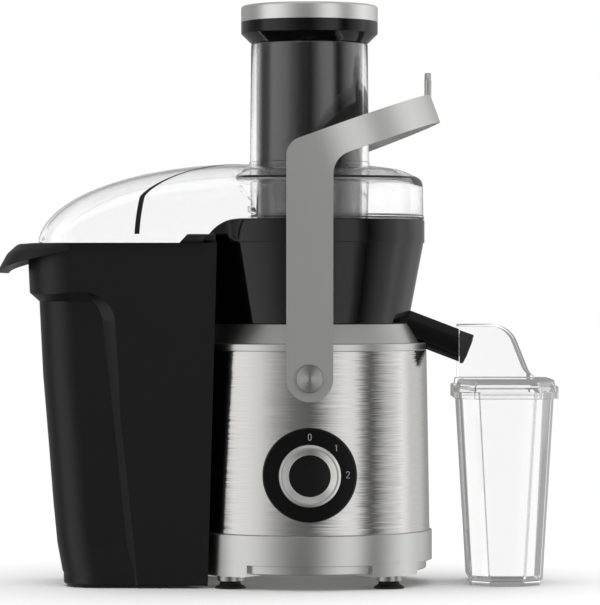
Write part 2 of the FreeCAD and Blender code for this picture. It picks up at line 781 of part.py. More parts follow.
def make_bowl():
    outer = [
        ("0", "collar_top"),
        ("bowl_foot_radius", "collar_top"),
        ("bowl_foot_radius + 3.3", "collar_top + 17"),
        ("bowl_rim_radius - 0.5", "band_bottom"),
        ("bowl_rim_radius", "band_bottom"),
        ("bowl_rim_radius", "bowl_rim"),
        ("0", "bowl_rim"),
    ]
    inner = [
        ("bowl_hub_radius", "collar_top + bowl_wall"),
        ("bowl_foot_radius - bowl_wall", "collar_top + bowl_wall"),
        ("bowl_foot_radius + 3.3 - bowl_wall", "collar_top + 17"),
        ("bowl_rim_radius - bowl_wall", "band_bottom"),
        ("bowl_rim_radius - bowl_wall", "bowl_rim"),
        ("0", "bowl_rim"),
        ("0", "bowl_hub_top"),
        ("bowl_hub_radius - 1", "bowl_hub_top"),
    ]
    envelope = turned("bowl_envelope", outer)
    room = turned("bowl_room", inner)
    hub_height = "bowl_hub_top - collar_top"
    shaft_way = cylinder("bowl_shaft_way", "coupling_radius + 0.7", hub_height, z="collar_top")
    channel = spout_bar("spout_channel", "spout_half_width - spout_wall", "spout_section / 2 - spout_wall",
                        "-spout_wall", "1")
    lip = side_plate("pulp_lip", [
        ("lip_left", "bin_rim + lid_gap"),
        ("lip_left + 5.5", "lip_top"),
        ("outlet_left", "lip_top"),
        ("outlet_left", "bin_rim + lid_gap"),
    ], "2 * lip_half_width")
    shell = cut("bowl_shell", envelope, group("bowl_hollows", [room, shaft_way]))
    tongue = cut("pulp_tongue", lip, envelope)
    solid = fuse("bowl_solid", shell, tongue)
    outlet = outlet_cut("bowl_outlet", "2 * ring_radius")
    node("bowl", cut("bowl", solid, group("bowl_tools", [outlet, channel])))
    bar = spout_bar("spout_solid", "spout_half_width", "spout_section / 2", "0", "0")
    node("juice_spout", cut("juice_spout", bar, group("spout_tools", [envelope, channel])))


# ---- lid ----


def cover_plan(name, inset, bottom, height):
    """The rounded plan of the lid's left wing, as a prism."""
    left = f"cover_left + ({inset})"
    half = f"cover_half_width - ({inset})"
    bend = f"cover_corner - ({inset})"
    outline = [
        ("0", f"-({half})"),
        ("0", half),
        (f"{left} + {bend}", half, f"-({bend})"),
        (left, f"{half} - ({bend})"),
        (left, f"-({half}) + {bend}", f"-({bend})"),
        (f"{left} + {bend}", f"-({half})"),
    ]
    prism = doc.addObject("Part::Extrusion", name)
    prism.Base = flat_sketch(name + "_plan", outline, bottom)
    prism.DirMode = "Normal"
    prism.Solid = True
    bind(prism, LengthFwd=height)
    return prism


def cover_dome(name, inset, bottom):
    """The crowned roof over the pulp wing: its height follows a quarter of an ellipse along X."""
    stations = 9
    sections = []
    for i in range(stations):
        share = f"cos({90 * (1 - i / (stations - 1))})"
        x = f"cover_middle + (cover_left + ({inset}) - cover_middle) * (1 - {i} / {stations - 1}) ^ 0.6"
        rise = f"sqrt(1 - ((({x}) - cover_middle) / (cover_left - 1 - cover_middle)) ^ 2)"
        top = f"cover_bottom + (cover_top - cover_bottom) * {rise} - ({inset})"
        side = f"({top}) - cover_crown * {share} - 0.5"
        half = f"cover_half_width - ({inset})"
        low = f"{bottom} - ({inset})"
        crown = f"((({top}) - ({side})) ^ 2 + ({half}) ^ 2) / (2 * (({top}) - ({side})))"
        sections.append(across_sketch(f"{name}_rib_{i}", [
            (half, low),
            (half, side, f"-({crown})"),
            (f"-({half})", side),
            (f"-({half})", low),
        ], x))
    wing = loft(name + "_wing", sections)
    end = across_sketch(f"{name}_end", [
        (half, low),
        (half, side, f"-({crown})"),
        (f"-({half})", side),
        (f"-({half})", low),
    ], "0")
    return fuse(name, wing, loft(name + "_middle", [sections[-1], end]))


def make_lid():
    outer = turned("lid_outer", [
        ("0", "bowl_rim + lid_gap"),
        ("lid_radius", "bowl_rim + lid_gap"),
        ("lid_radius", "bowl_rim + 3"),
        ("lid_radius - 0.6", "bowl_rim + 3"),
        ("lid_radius - 0.6", "lid_side_top", "-9"),
        ("lid_radius - 5", "lid_side_top + 6.3"),
        ("lid_radius - 18", "lid_centre_top - 2.7"),
        ("chute_radius", "lid_centre_top"),
        ("0", "lid_centre_top"),
    ])
    inner = turned("lid_inner", [
        ("0", "bowl_rim - 5"),
        ("lid_radius - 4.6", "bowl_rim - 5"),
        ("lid_radius - 4.6", "bowl_rim + 3"),
        ("lid_radius - 3", "bowl_rim + 5"),
        ("lid_radius - 3", "lid_side_top - 1"),
        ("lid_radius - 6.6", "lid_side_top + 4"),
        ("lid_radius - 18.5", "lid_centre_top - 5.1"),
        ("chute_radius - 1", "lid_centre_top - lid_wall"),
        ("0", "lid_centre_top - lid_wall"),
    ])
    skirt = turned("lid_skirt", [
        ("lid_radius - 4.6", "bowl_rim - 4.5"),
        ("lid_radius - 2.6", "bowl_rim - 4.5"),
        ("lid_radius - 2.6", "bowl_rim + 2"),
        ("lid_radius - 4.6", "bowl_rim + 2"),
    ])
    wing = common("wing_outer", cover_dome("dome_outer", "0", "cover_bottom"),
                  cover_plan("plan_outer", "0", "cover_bottom", "70"))
    hollow = common("wing_inner", cover_dome("dome_inner", "lid_wall", "cover_bottom - 5"),
                    cover_plan("plan_inner", "lid_wall", "cover_bottom - 6", "70"))
    under = side_plate("wing_underside", [
        ("outlet_right - 25.4", "cover_bottom - 5"),
        ("outlet_right - 25.4", "cover_bottom", "outlet_arc"),
        ("outlet_right", "bowl_rim + lid_gap"),
        ("5", "bowl_rim + lid_gap"),
        ("5", "cover_bottom - 5"),
    ], "2 * ring_radius")
    wing_cut = cut("wing_trimmed", wing, under)
    chute_hole = cylinder("chute_hole", "chute_radius", "60", z="lid_centre_top - 40")
    envelope = fuse("lid_envelope", outer, wing_cut, skirt)
    bowl_room = cylinder("bowl_top_room", "bowl_rim_radius + 0.4", "30", z="bowl_rim + lid_gap - 30")
    walls = cut("lid_walls", envelope, group("lid_hollows", [inner, hollow, chute_hole]))
    wing_clear = cut("bowl_clearance", bowl_room, cylinder("skirt_keep", "lid_radius - 2.6", "30",
                                                           z="bowl_rim + lid_gap - 30"))
    node("lid_shell", cut("lid_shell", walls, wing_clear))

    node("feed_chute", turned("chute_body", [
        ("chute_inner", "chute_bottom"),
        ("chute_inner + 2", "chute_bottom"),
        ("chute_radius - 0.4", "lid_centre_top - 12"),
        ("chute_radius", "lid_centre_top - 8"),
        ("chute_radius", "chute_shoulder"),
        ("chute_top_radius", "chute_top"),
        ("chute_inner", "chute_top"),
    ]))
    inner_height = "cover_bottom + (cover_top - cover_bottom) * 0.82 - lid_wall - cover_crown"
    band = box("seal_band", "seal_width", "cover_half_width - lid_wall", f"{inner_height} - cover_bottom",
               "-124", "-cover_half_width + lid_wall", "cover_bottom + 2")
    gap_front = "-cover_half_width + lid_wall + seal_depth"
    gap = box("seal_gap", "seal_width + 2", "cover_half_width - lid_wall",
              f"{inner_height} - cover_bottom - seal_depth", "-125", gap_front, "cover_bottom + 2")
    node("lid_seal", cut("lid_seal", band, gap))


def make_pusher():
    node("pusher_body", turned("pusher_cup", [
        ("0", "pusher_bottom"),
        ("pusher_radius - 2", "pusher_bottom"),
        ("pusher_radius", "pusher_bottom + 2"),
        ("pusher_radius", "knob_side - 2.4"),
        ("pusher_radius - pusher_wall", "knob_side - 2.4"),
        ("pusher_radius - pusher_wall", "pusher_bottom + 3"),
        ("0", "pusher_bottom + 3"),
    ]))
    node("pusher_collar", turned("pusher_ring", [
        ("pusher_radius", "collar_start"),
        ("chute_top_radius", "collar_start"),
        ("knob_radius", "knob_side"),
        ("knob_radius", "cap_bottom"),
        ("pusher_radius - 5.3", "cap_bottom"),
        ("pusher_radius - 5.3", "knob_side - 2.4"),
        ("pusher_radius", "knob_side - 2.4"),
    ]))
    node("pusher_cap", turned("pusher_disc", [
        ("0", "cap_bottom"),
        ("knob_radius", "cap_bottom"),
        ("knob_radius", "cap_top - 2", "-2"),
        ("knob_radius - 2", "cap_top"),
        ("0", "cap_top"),
    ]))


# ---- locking bail and its interlock ----


def make_bail():
    lean = "tan(bail_tilt)"
    rise = "hoop_half_width * cos(bail_tilt)"
    reach = "hoop_half_width * sin(bail_tilt)"
    top = f"hoop_height + {rise} + ({reach} - hoop_centre) * {lean}"
    low = f"hoop_height - {rise} - ({reach} + hoop_centre) * {lean}"
    parts = []
    middle = "bail_inner + bail_thickness / 2"
    for name, y in (("front", f"-({middle})"), ("back", middle)):
        leg = side_plate(f"bail_leg_{name}", [
            ("-leg_half_width", "pivot_height"),
            ("-leg_half_width", f"{top} - leg_half_width * {lean} - bail_corner", "bail_corner * 1.4"),
            ("-leg_half_width + bail_corner", f"{top} + (bail_corner - leg_half_width) * {lean}"),
            ("12", f"{top} + 12 * {lean}"),
            ("20", f"{low} + 20 * {lean}"),
            ("leg_half_width", f"{low} + leg_half_width * {lean} - 7"),
            ("leg_half_width", "pivot_height"),
        ], "bail_thickness", y)
        faces = (f"{y} - bail_thickness / 2", f"{y} + bail_thickness / 2")
        end = rod(f"bail_end_{name}", "leg_half_width", *faces, z="pivot_height")
        parts += [leg, end]
    rings = []
    for name, radius in (("outer", "bail_inner + bail_thickness"), ("inner", "bail_inner")):
        ring = cylinder(f"hoop_{name}", radius, "2 * hoop_half_width", sweep=180)
        tilt = FreeCAD.Rotation(FreeCAD.Vector(0, 1, 0), -number("bail_tilt"))
        ring.Placement.Rotation = tilt.multiply(FreeCAD.Rotation(FreeCAD.Vector(0, 0, 1), -90))
        bind(ring, **{
            ".Placement.Base.x": "hoop_centre + hoop_half_width * sin(bail_tilt)",
            ".Placement.Base.z": "hoop_height - hoop_half_width * cos(bail_tilt)",
        })
        rings.append(ring)
    hoop = cut("bail_hoop", *rings)
    tab = box("bail_tab", "tab_right - tab_left", "2 * tab_half_width", "22", "tab_left", "-tab_half_width",
              "tab_top - 22")
    strip = fuse("bail_strip", hoop, tab, *parts)
    pin_hole = rod("bail_pin_hole", "pin_radius", "-100", "100", z="pivot_height")
    node("locking_bail", cut("locking_bail", strip, pin_hole))

    pins = []
    for name, inner_end, side in (("front", "76", -1), ("back", "cam_middle - 3", 1)):
        far = "bail_inner + bail_thickness + 3"
        near = "bail_inner + bail_thickness"
        ends = [(inner_end, far), (near, far)]
        if side < 0:
            ends = [(f"-({b})", f"-({a})") for a, b in ends]
        stem = rod(f"pin_stem_{name}", "pin_radius", *ends[0], z="pivot_height")
        head = rod(f"pin_head_{name}", "pin_cap_radius", *ends[1], z="pivot_height")
        pins.append(fuse(f"pin_{name}", stem, head))
        bush_ends = ("chassis_radius - 5", "bail_inner - 0.6")
        if side < 0:
            bush_ends = ("-bail_inner + 0.6", "-chassis_radius + 5")
        outer = rod(f"bush_outer_{name}", "bush_radius", *bush_ends, z="pivot_height")
        bore = rod(f"bush_bore_{name}", "pin_radius + running_fit", *bush_ends, z="pivot_height")
        node(f"{name}_pivot_bush", cut(f"{name}_pivot_bush", outer, bore))
    node("pivot_pins", group("pivot_pins", pins))

    cam_ends = ("cam_middle - 3", "cam_middle + 3")
    disc = rod("cam_disc", "cam_radius", *cam_ends, "-cam_offset", "pivot_height - cam_offset")
    hole = rod("cam_hole", "pin_radius", *cam_ends, z="pivot_height")
    node("interlock_cam", cut("interlock_cam", disc, hole))
    plunger_top = "pivot_height - cam_offset - cam_radius - 0.4"
    plunger = cylinder("interlock_plunger", "plunger_radius", f"{plunger_top} - deck_top - 2", y="cam_middle",
                       z="deck_top + 2")
    node("interlock_plunger", plunger)
    case = box("switch_case", "18", "13", "11", "-9", "cam_middle - 7", "deck_top")
    way = cylinder("plunger_way", "plunger_radius + 0.3", "12", y="cam_middle", z="deck_top + 1.5")
    node("interlock_switch", cut("interlock_switch", case, way))


# ---- dial and electrics ----


def make_dial():
    face = "-bezel_front"
    disc = rod("bezel_disc", "bezel_radius", face, "-72", z="dial_height")
    inside = turned("sleeve_filled", [
        ("0", "ring_top"),
        ("sleeve_bottom_radius", "ring_top"),
        ("sleeve_top_radius", "sleeve_top"),
        ("0", "sleeve_top"),
    ])
    bore = rod("bezel_bore", "6", face, "-72", z="dial_height")
    node("dial_bezel", cut("dial_bezel", disc, group("bezel_tools", [inside, bore])))
    for name, outline in {
        "dial_knob": [
            ("dial_cap_radius", "bezel_front + 0.3"),
            ("dial_radius", "bezel_front + 0.3"),
            ("dial_radius", "dial_front - 2"),
            ("dial_radius - 1", "dial_front"),
            ("dial_radius - 2.5", "dial_front"),
            ("dial_cap_radius", "dial_front - 3"),
        ],
        "dial_cap": [
            ("dial_shaft_radius", "bezel_front + 2"),
            ("dial_cap_radius", "bezel_front + 2"),
            ("dial_cap_radius", "dial_front - 3.5"),
            ("dial_cap_radius - 1", "dial_front - 3"),
            ("0", "dial_front - 3"),
            ("0", "dial_front - 6"),
            ("dial_shaft_radius", "dial_front - 6"),
        ],
    }.items():
        turned_piece = turned(name + "_body", outline)
        node(name, place(turned_piece, z="dial_height", axis=(1, 0, 0), angle=90))
    node("dial_shaft", rod("dial_shaft", "dial_shaft_radius", "-dial_front + 6", "-66", z="dial_height"))
    case = box("rotary_case", "24", "20", "24", "-12", "-78", "dial_height - 12")
    bore = rod("rotary_bore", "dial_shaft_radius + running_fit", "-78", "-65", z="dial_height")
    node("rotary_switch", cut("rotary_switch", case, bore))
    node("control_board", box("control_board", "1.6", "40", "40", "-76", "-20", "60"))


# ---- pulp container ----


def bin_section(name, height, left, half, inset):
    """One level of the container: flat sides, a rounded left end and a plain right end."""
    right = f"bin_right_bottom + (bin_right - bin_right_bottom) * ({height}) / bin_rim"
    left = f"{left} + ({inset})"
    half = f"{half} - ({inset})"
    bend = f"(bin_corner - ({inset}))"
    return flat_sketch(name, [
        (right, f"-({half})"),
        (right, half),
        (f"{left} + {bend}", half, f"-{bend}"),
        (left, f"{half} - {bend}"),
        (left, f"-({half}) + {bend}", f"-{bend}"),
        (f"{left} + {bend}", f"-({half})"),
    ], height)


def bin_solid(name, inset, bottom, top):
    """The container's outer or inner form, with its waist under the hand lip."""
    levels = [
        (bottom, "-175", "60"),
        ("28.7", "-179.6", "61.5"),
        ("202.5", "-192.6", "68.6"),
        ("208.6", "-198.7", "69"),
        (top, "-200", "70"),
    ]
    sections = [bin_section(f"{name}_level_{i}", *level, inset) for i, level in enumerate(levels)]
    return loft(name + "_form", sections)


def make_container():
    outer = bin_solid("bin_outer", "0", "bin_bottom", "bin_rim")
    inner = bin_solid("bin_inner", "bin_wall", "bin_floor", "bin_rim + 1")
    near = cylinder("bin_hollow", "bin_hollow_radius", "260", z="-5")
    near_inner = cylinder("bin_hollow_inner", "bin_hollow_radius + bin_wall", "260", z="-5")
    shell = cut("bin_shell", cut("bin_body", outer, near), cut("bin_space", inner, near_inner))
    spout_lip = side_plate("bin_lip", [
        ("-222", "220.7", "60"),
        ("-214.5", "235", "30"),
        ("-205.7", "bin_rim - 0.5"),
        ("-198.4", "bin_rim"),
        ("-198.4", "bin_rim - 3"),
        ("-205.5", "bin_rim - 3.8", "-30"),
        ("-212", "233.4", "-60"),
        ("-219.5", "219.7"),
    ], "90")
    skids = [
        box(f"bin_skid_{i}", "60", "4", "bin_bottom", "-160", y, "0") for i, y in enumerate(("-44", "40"))
    ]
    node("pulp_container", fuse("pulp_container", shell, spout_lip, *skids))


# ---- jug ----


def jug_section(name, height, half, depth, inset=0):
    c = f"(jug_chamfer - ({inset}) / 2)"
    a, b = f"({half} - ({inset}))", f"({depth} - ({inset}))"
    middle = "jug_centre"
    return flat_sketch(name, [
        (f"{middle} - {a} + {c}", f"-{b}"),
        (f"{middle} + {a} - {c}", f"-{b}"),
        (f"{middle} + {a}", f"-{b} + {c}"),
        (f"{middle} + {a}", f"{b} - {c}"),
        (f"{middle} + {a} - {c}", b),
        (f"{middle} - {a} + {c}", b),
        (f"{middle} - {a}", f"{b} - {c}"),
        (f"{middle} - {a}", f"-{b} + {c}"),
    ], height)


def jug_form(name, inset, bottom, top):
    return loft(name, [
        jug_section(name + "_low", bottom, "jug_half_bottom", "jug_depth_bottom", inset),
        jug_section(name + "_high", top, "jug_half_top", "jug_depth_top", inset),
    ])


def straight_form(name, half, depth, inset, bottom, top):
    return loft(name, [
        jug_section(name + "_low", bottom, half, depth, inset),
        jug_section(name + "_high", top, half, depth, inset),
    ])


def hood_form(name, inset, width, low):
    """The lid's hood over the spout: flat on top, then an S down to the plate."""
    inset_right = f"hood_right - ({inset})"
    return side_plate(name, [
        ("hood_left", low),
        ("hood_left", f"hood_top - ({inset})"),
        ("hood_flat_end", f"hood_top - ({inset})", f"24 - ({inset})"),
        (f"hood_flat_end + 20 - ({inset})", "hood_top - 21"),
        (f"{inset_right} - 8", "jug_lid_top + 10"),
        (inset_right, "jug_lid_top"),
        (inset_right, low),
    ], width)


def make_jug():
    outer = jug_form("jug_outer", "0", "0", "jug_rim")
    inner = jug_form("jug_inner", "jug_wall", "jug_floor", "jug_rim")
    node("juice_jug", cut("juice_jug", outer, inner))
    plate = straight_form("jug_lid_plate", "jug_lid_half", "jug_lid_depth", "0", "jug_skirt", "jug_lid_top")
    under = straight_form("jug_lid_under", "jug_lid_half", "jug_lid_depth", "1.4", "jug_skirt", "jug_rim")
    hood = hood_form("hood_outer", "0", "2 * hood_half_width", "jug_rim")
    hollow = hood_form("hood_inner", "hood_wall", "2 * (hood_half_width - hood_wall)", "jug_rim")
    cap = fuse("jug_lid_solid", cut("jug_lid_cover", plate, under), hood)
    node("jug_lid", cut("jug_lid", cap, hollow))


# ---- build, check and write ----


def check():
    faults = []
    for item in doc.Objects:
        if "Invalid" in item.State or "Error" in item.State:
            faults.append(f"{item.Name} is {item.State}")
    for name, item in nodes.items():
        shape = item.Shape
        if shape.isNull() or not shape.isValid() or not shape.Solids:
            faults.append(f"{name} has no valid solid")
    if faults:
        raise RuntimeError("; ".join(faults))


make_base()
make_shells()
make_motor()
make_rotor()
make_basket()
make_bowl()
make_lid()
make_pusher()
make_bail()
make_dial()
make_container()
make_jug()
doc.recompute()
check()
os.makedirs("parts", exist_ok=True)
for name, item in nodes.items():
    item.Shape.exportStep(f"parts/{name}.step")
    print(f"{name}: {len(item.Shape.Solids)} solids, {item.Shape.Volume / 1000:.2f} cm3")
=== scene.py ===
import json
import math
from types import SimpleNamespace

import bmesh
import bpy
from mathutils import Matrix, Vector


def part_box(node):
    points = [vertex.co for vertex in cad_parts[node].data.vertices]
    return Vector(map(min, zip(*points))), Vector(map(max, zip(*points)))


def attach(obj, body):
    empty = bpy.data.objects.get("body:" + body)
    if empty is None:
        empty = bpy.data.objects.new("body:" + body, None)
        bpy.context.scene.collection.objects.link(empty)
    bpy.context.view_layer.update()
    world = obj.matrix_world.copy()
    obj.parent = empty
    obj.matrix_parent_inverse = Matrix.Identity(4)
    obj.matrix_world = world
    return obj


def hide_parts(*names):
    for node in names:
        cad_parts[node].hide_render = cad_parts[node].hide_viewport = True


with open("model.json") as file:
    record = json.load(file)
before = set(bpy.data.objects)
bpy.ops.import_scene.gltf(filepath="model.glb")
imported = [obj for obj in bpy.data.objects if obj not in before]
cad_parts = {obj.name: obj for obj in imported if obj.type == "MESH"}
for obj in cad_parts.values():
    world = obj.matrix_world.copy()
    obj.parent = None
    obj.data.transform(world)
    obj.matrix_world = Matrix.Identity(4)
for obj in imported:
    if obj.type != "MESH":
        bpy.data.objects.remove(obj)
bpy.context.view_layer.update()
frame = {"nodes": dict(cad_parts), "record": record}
print("stage: frame loaded")

scene = bpy.context.scene


# shared tools: lengths in the dictionaries are millimetres, meshes are metres

# where a CAD node lies, in millimetres
def span(node):
    low, high = ([v * 1000 for v in corner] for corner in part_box(node))
    return SimpleNamespace(x0=low[0], y0=low[1], z0=low[2], x1=high[0], y1=high[1], z1=high[2])


def linearColour(code, alpha=1.0):
    channels = [int(code[i:i + 2], 16) / 255 for i in (1, 3, 5)]
    return [c / 12.92 if c <= 0.04045 else ((c + 0.055) / 1.055) ** 2.4 for c in channels] + [alpha]


# adds a node, sets its properties and inputs, and links its inputs to other nodes' outputs
def addNode(tree, kind, settings=None, links=None):
    node = tree.nodes.new(kind)
    for name, value in (settings or {}).items():
        if isinstance(name, int) or name in node.inputs:
            node.inputs[name].default_value = value
        else:
            setattr(node, name, value)
    for name, source in (links or {}).items():
        tree.links.new(source, node.inputs[name])
    return node


# a principled material; returns it with its tree and its shader
def newMaterial(name, colour, roughness, metallic=0.0, **sockets):
    material = bpy.data.materials.new(name)
    material.use_nodes = True
    tree = material.node_tree
    shader = tree.nodes["Principled BSDF"]
    shader.inputs["Base Color"].default_value = linearColour(colour)
    shader.inputs["Roughness"].default_value = roughness
    shader.inputs["Metallic"].default_value = metallic
    for socket, value in sockets.items():
        shader.inputs[socket.replace("_", " ")].default_value = value
    return material, tree, shader


# a polyline with each (x, y, radius) corner rounded; a plain (x, y) corner stays sharp
def filleted(points, steps=6, closed=True):
    path = []
    count = len(points)
    for i, corner in enumerate(points):
        here = Vector(corner[:2])
        radius = corner[2] if len(corner) > 2 else 0
        if radius <= 0 or (not closed and i in (0, count - 1)):
            path.append(here)
            continue
        before = (Vector(points[i - 1][:2]) - here).normalized()
        after = (Vector(points[(i + 1) % count][:2]) - here).normalized()
        half = before.angle(after) / 2
        reach = radius / math.tan(half)
        centre = here + (before + after).normalized() * (radius / math.sin(half))
        start, end = here + before * reach - centre, here + after * reach - centre
        turn = start.angle_signed(end)
        for k in range(steps + 1):
            path.append(centre + Matrix.Rotation(-turn * k / steps, 2) @ start)
    return path


# turns a bmesh in millimetres into an object with clean normals and shading
def meshObject(name, bm, material, smoothAngle=32):
    bmesh.ops.remove_doubles(bm, verts=bm.verts, dist=0.0005)
    bmesh.ops.recalc_face_normals(bm, faces=bm.faces)
    bmesh.ops.scale(bm, vec=(0.001, 0.001, 0.001), verts=bm.verts)
    mesh = bpy.data.meshes.new(name)
    bm.to_mesh(mesh)
    bm.free()
    return finishMesh(bpy.data.objects.new(name, mesh), material, smoothAngle)


def finishMesh(piece, material, smoothAngle=32):
    if piece.name not in scene.collection.objects:
        scene.collection.objects.link(piece)
    piece.data.materials.clear()
    piece.data.materials.append(material)
    piece.data.shade_smooth()
    piece.data.set_sharp_from_angle(angle=math.radians(smoothAngle))
    return piece


# attaches a piece to the body it moves with and hides the CAD nodes it stands for
def install(piece, body, slot, *nodes):
    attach(piece, body)
    if nodes:
        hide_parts(*nodes)
    return piece


# turns a closed (radius, z) outline about an upright axis; points on the axis become poles
def latheInto(bm, profile, centre=(0, 0), segments=192):
    rings = []
    for radius, z in profile:
        if radius < 1e-6:
            rings.append([bm.verts.new((centre[0], centre[1], z))])
            continue
        rings.append([
            bm.verts.new((centre[0] + radius * math.cos(a), centre[1] + radius * math.sin(a), z))
            for a in (2 * math.pi * i / segments for i in range(segments))
        ])
    for a, b in zip(rings, rings[1:] + rings[:1]):
        if len(a) == 1 and len(b) == 1:
            continue
        for i in range(segments):
            j = (i + 1) % segments
            corners = [a[i % len(a)], a[j % len(a)], b[j % len(b)], b[i % len(b)]]
            unique = list(dict.fromkeys(corners))
            if len(unique) > 2:
                bm.faces.new(unique)
    return bm


def lathe(name, outline, material, centre=(0, 0), segments=192, steps=6):
    bm = latheInto(bmesh.new(), filleted(outline, steps), centre, segments)
    return meshObject(name, bm, material)


# joins closed rings of equal length into a skin, with flat caps at both ends
def layersInto(bm, layers, capped=True):
    rings = [[bm.verts.new(p) for p in layer] for layer in layers]
    count = len(rings[0])
    for a, b in zip(rings, rings[1:]):
        for i in range(count):
            j = (i + 1) % count
            bm.faces.new([a[i], a[j], b[j], b[i]])
    if capped:
        bm.faces.new(rings[0])
        bm.faces.new(rings[-1])
    return bm


# an outline made solid between two depths along an axis, with rounded edges
def plateInto(bm, outline, low, high, axis="y", bevel=0.0, steps=3):
    place = {
        "x": lambda u, v, d: (d, u, v),
        "y": lambda u, v, d: (u, d, v),
        "z": lambda u, v, d: (u, v, d),
    }[axis]
    bottom = [bm.verts.new(place(u, v, low)) for u, v in outline]
    top = [bm.verts.new(place(u, v, high)) for u, v in outline]
    caps = [bm.faces.new(bottom), bm.faces.new(top[::-1])]
    count = len(outline)
    for i in range(count):
        j = (i + 1) % count
        bm.faces.new([bottom[i], top[i], top[j], bottom[j]])
    if bevel:
        edges = {edge for cap in caps for edge in cap.edges}
        bmesh.ops.bevel(bm, geom=list(edges), offset=bevel, segments=steps, profile=0.5, affect="EDGES")
    return bm


# a boolean between two objects, turned into a plain mesh; the tool is removed
def combined(target, tool, operation):
    modifier = target.modifiers.new("bool", "BOOLEAN")
    modifier.operation = operation
    modifier.solver = "EXACT"
    modifier.object = tool
    graph = bpy.context.evaluated_depsgraph_get()
    mesh = bpy.data.meshes.new_from_object(target.evaluated_get(graph))
    target.modifiers.remove(modifier)
    target.data = mesh
    bpy.data.objects.remove(tool)
    return target


# a bmesh in millimetres as a bare object for booleans
def rawObject(name, bm):
    bmesh.ops.remove_doubles(bm, verts=bm.verts, dist=0.0005)
    bmesh.ops.recalc_face_normals(bm, faces=bm.faces)
    bmesh.ops.scale(bm, vec=(0.001, 0.001, 0.001), verts=bm.verts)
    mesh = bpy.data.meshes.new(name)
    bm.to_mesh(mesh)
    bm.free()
    item = bpy.data.objects.new(name, mesh)
    scene.collection.objects.link(item)
    return item


# lays a lathe made about Z along -Y, so that its z becomes the distance in front of the axis
def turnedAway(bm, height):
    bmesh.ops.rotate(bm, verts=bm.verts, cent=(0, 0, 0), matrix=Matrix.Rotation(math.pi / 2, 3, "X"))
    bmesh.ops.translate(bm, verts=bm.verts, vec=(0, 0, height))
    return bm


# runs a geometry node tree with named inputs on an empty mesh and keeps the plain result
def nodeModifier(name, inputs, build):
    tree = bpy.data.node_groups.new(name, "GeometryNodeTree")
    for label, (kind, _) in inputs.items():
        tree.interface.new_socket(label, in_out="INPUT", socket_type=kind)
    tree.interface.new_socket("Geometry", in_out="OUTPUT", socket_type="NodeSocketGeometry")
    source = addNode(tree, "NodeGroupInput")
    grown = build(tree, source.outputs)
    realized = addNode(tree, "GeometryNodeRealizeInstances", None, {"Geometry": grown})
    finished = addNode(tree, "GeometryNodeSetMaterial", None,
                       {"Geometry": realized.outputs["Geometry"], "Material": source.outputs["Material"]})
    result = addNode(tree, "NodeGroupOutput")
    tree.links.new(finished.outputs["Geometry"], result.inputs["Geometry"])
    piece = bpy.data.objects.new(name, bpy.data.meshes.new(name))
    scene.collection.objects.link(piece)
    modifier = piece.modifiers.new(name, "NODES")
    modifier.node_group = tree
    sockets = {item.name: item.identifier for item in tree.interface.items_tree if item.in_out == "INPUT"}
    for label, (_, value) in inputs.items():
        modifier[sockets[label]] = value
    graph = bpy.context.evaluated_depsgraph_get()
    piece.data = bpy.data.meshes.new_from_object(piece.evaluated_get(graph))
    piece.modifiers.remove(modifier)
    return piece


# one maths node; each side is a number or another node's output
def arithmetic(tree, operation, first, second=None):
    node = addNode(tree, "ShaderNodeMath", {"operation": operation})
    for i, side in enumerate((first, second)):
        if isinstance(side, (int, float)):
            node.inputs[i].default_value = side
        elif side is not None:
            tree.links.new(side, node.inputs[i])
    return node.outputs["Value"]


def polarPoint(tree, radius, angle, height):
    across = arithmetic(tree, "MULTIPLY", radius, arithmetic(tree, "COSINE", angle))
    along = arithmetic(tree, "MULTIPLY", radius, arithmetic(tree, "SINE", angle))
    point = addNode(tree, "ShaderNodeCombineXYZ", None, {"X": across, "Y": along})
    if isinstance(height, float):
        point.inputs["Z"].default_value = height
    else:
        tree.links.new(height, point.inputs["Z"])
    return point.outputs["Vector"]


# materials

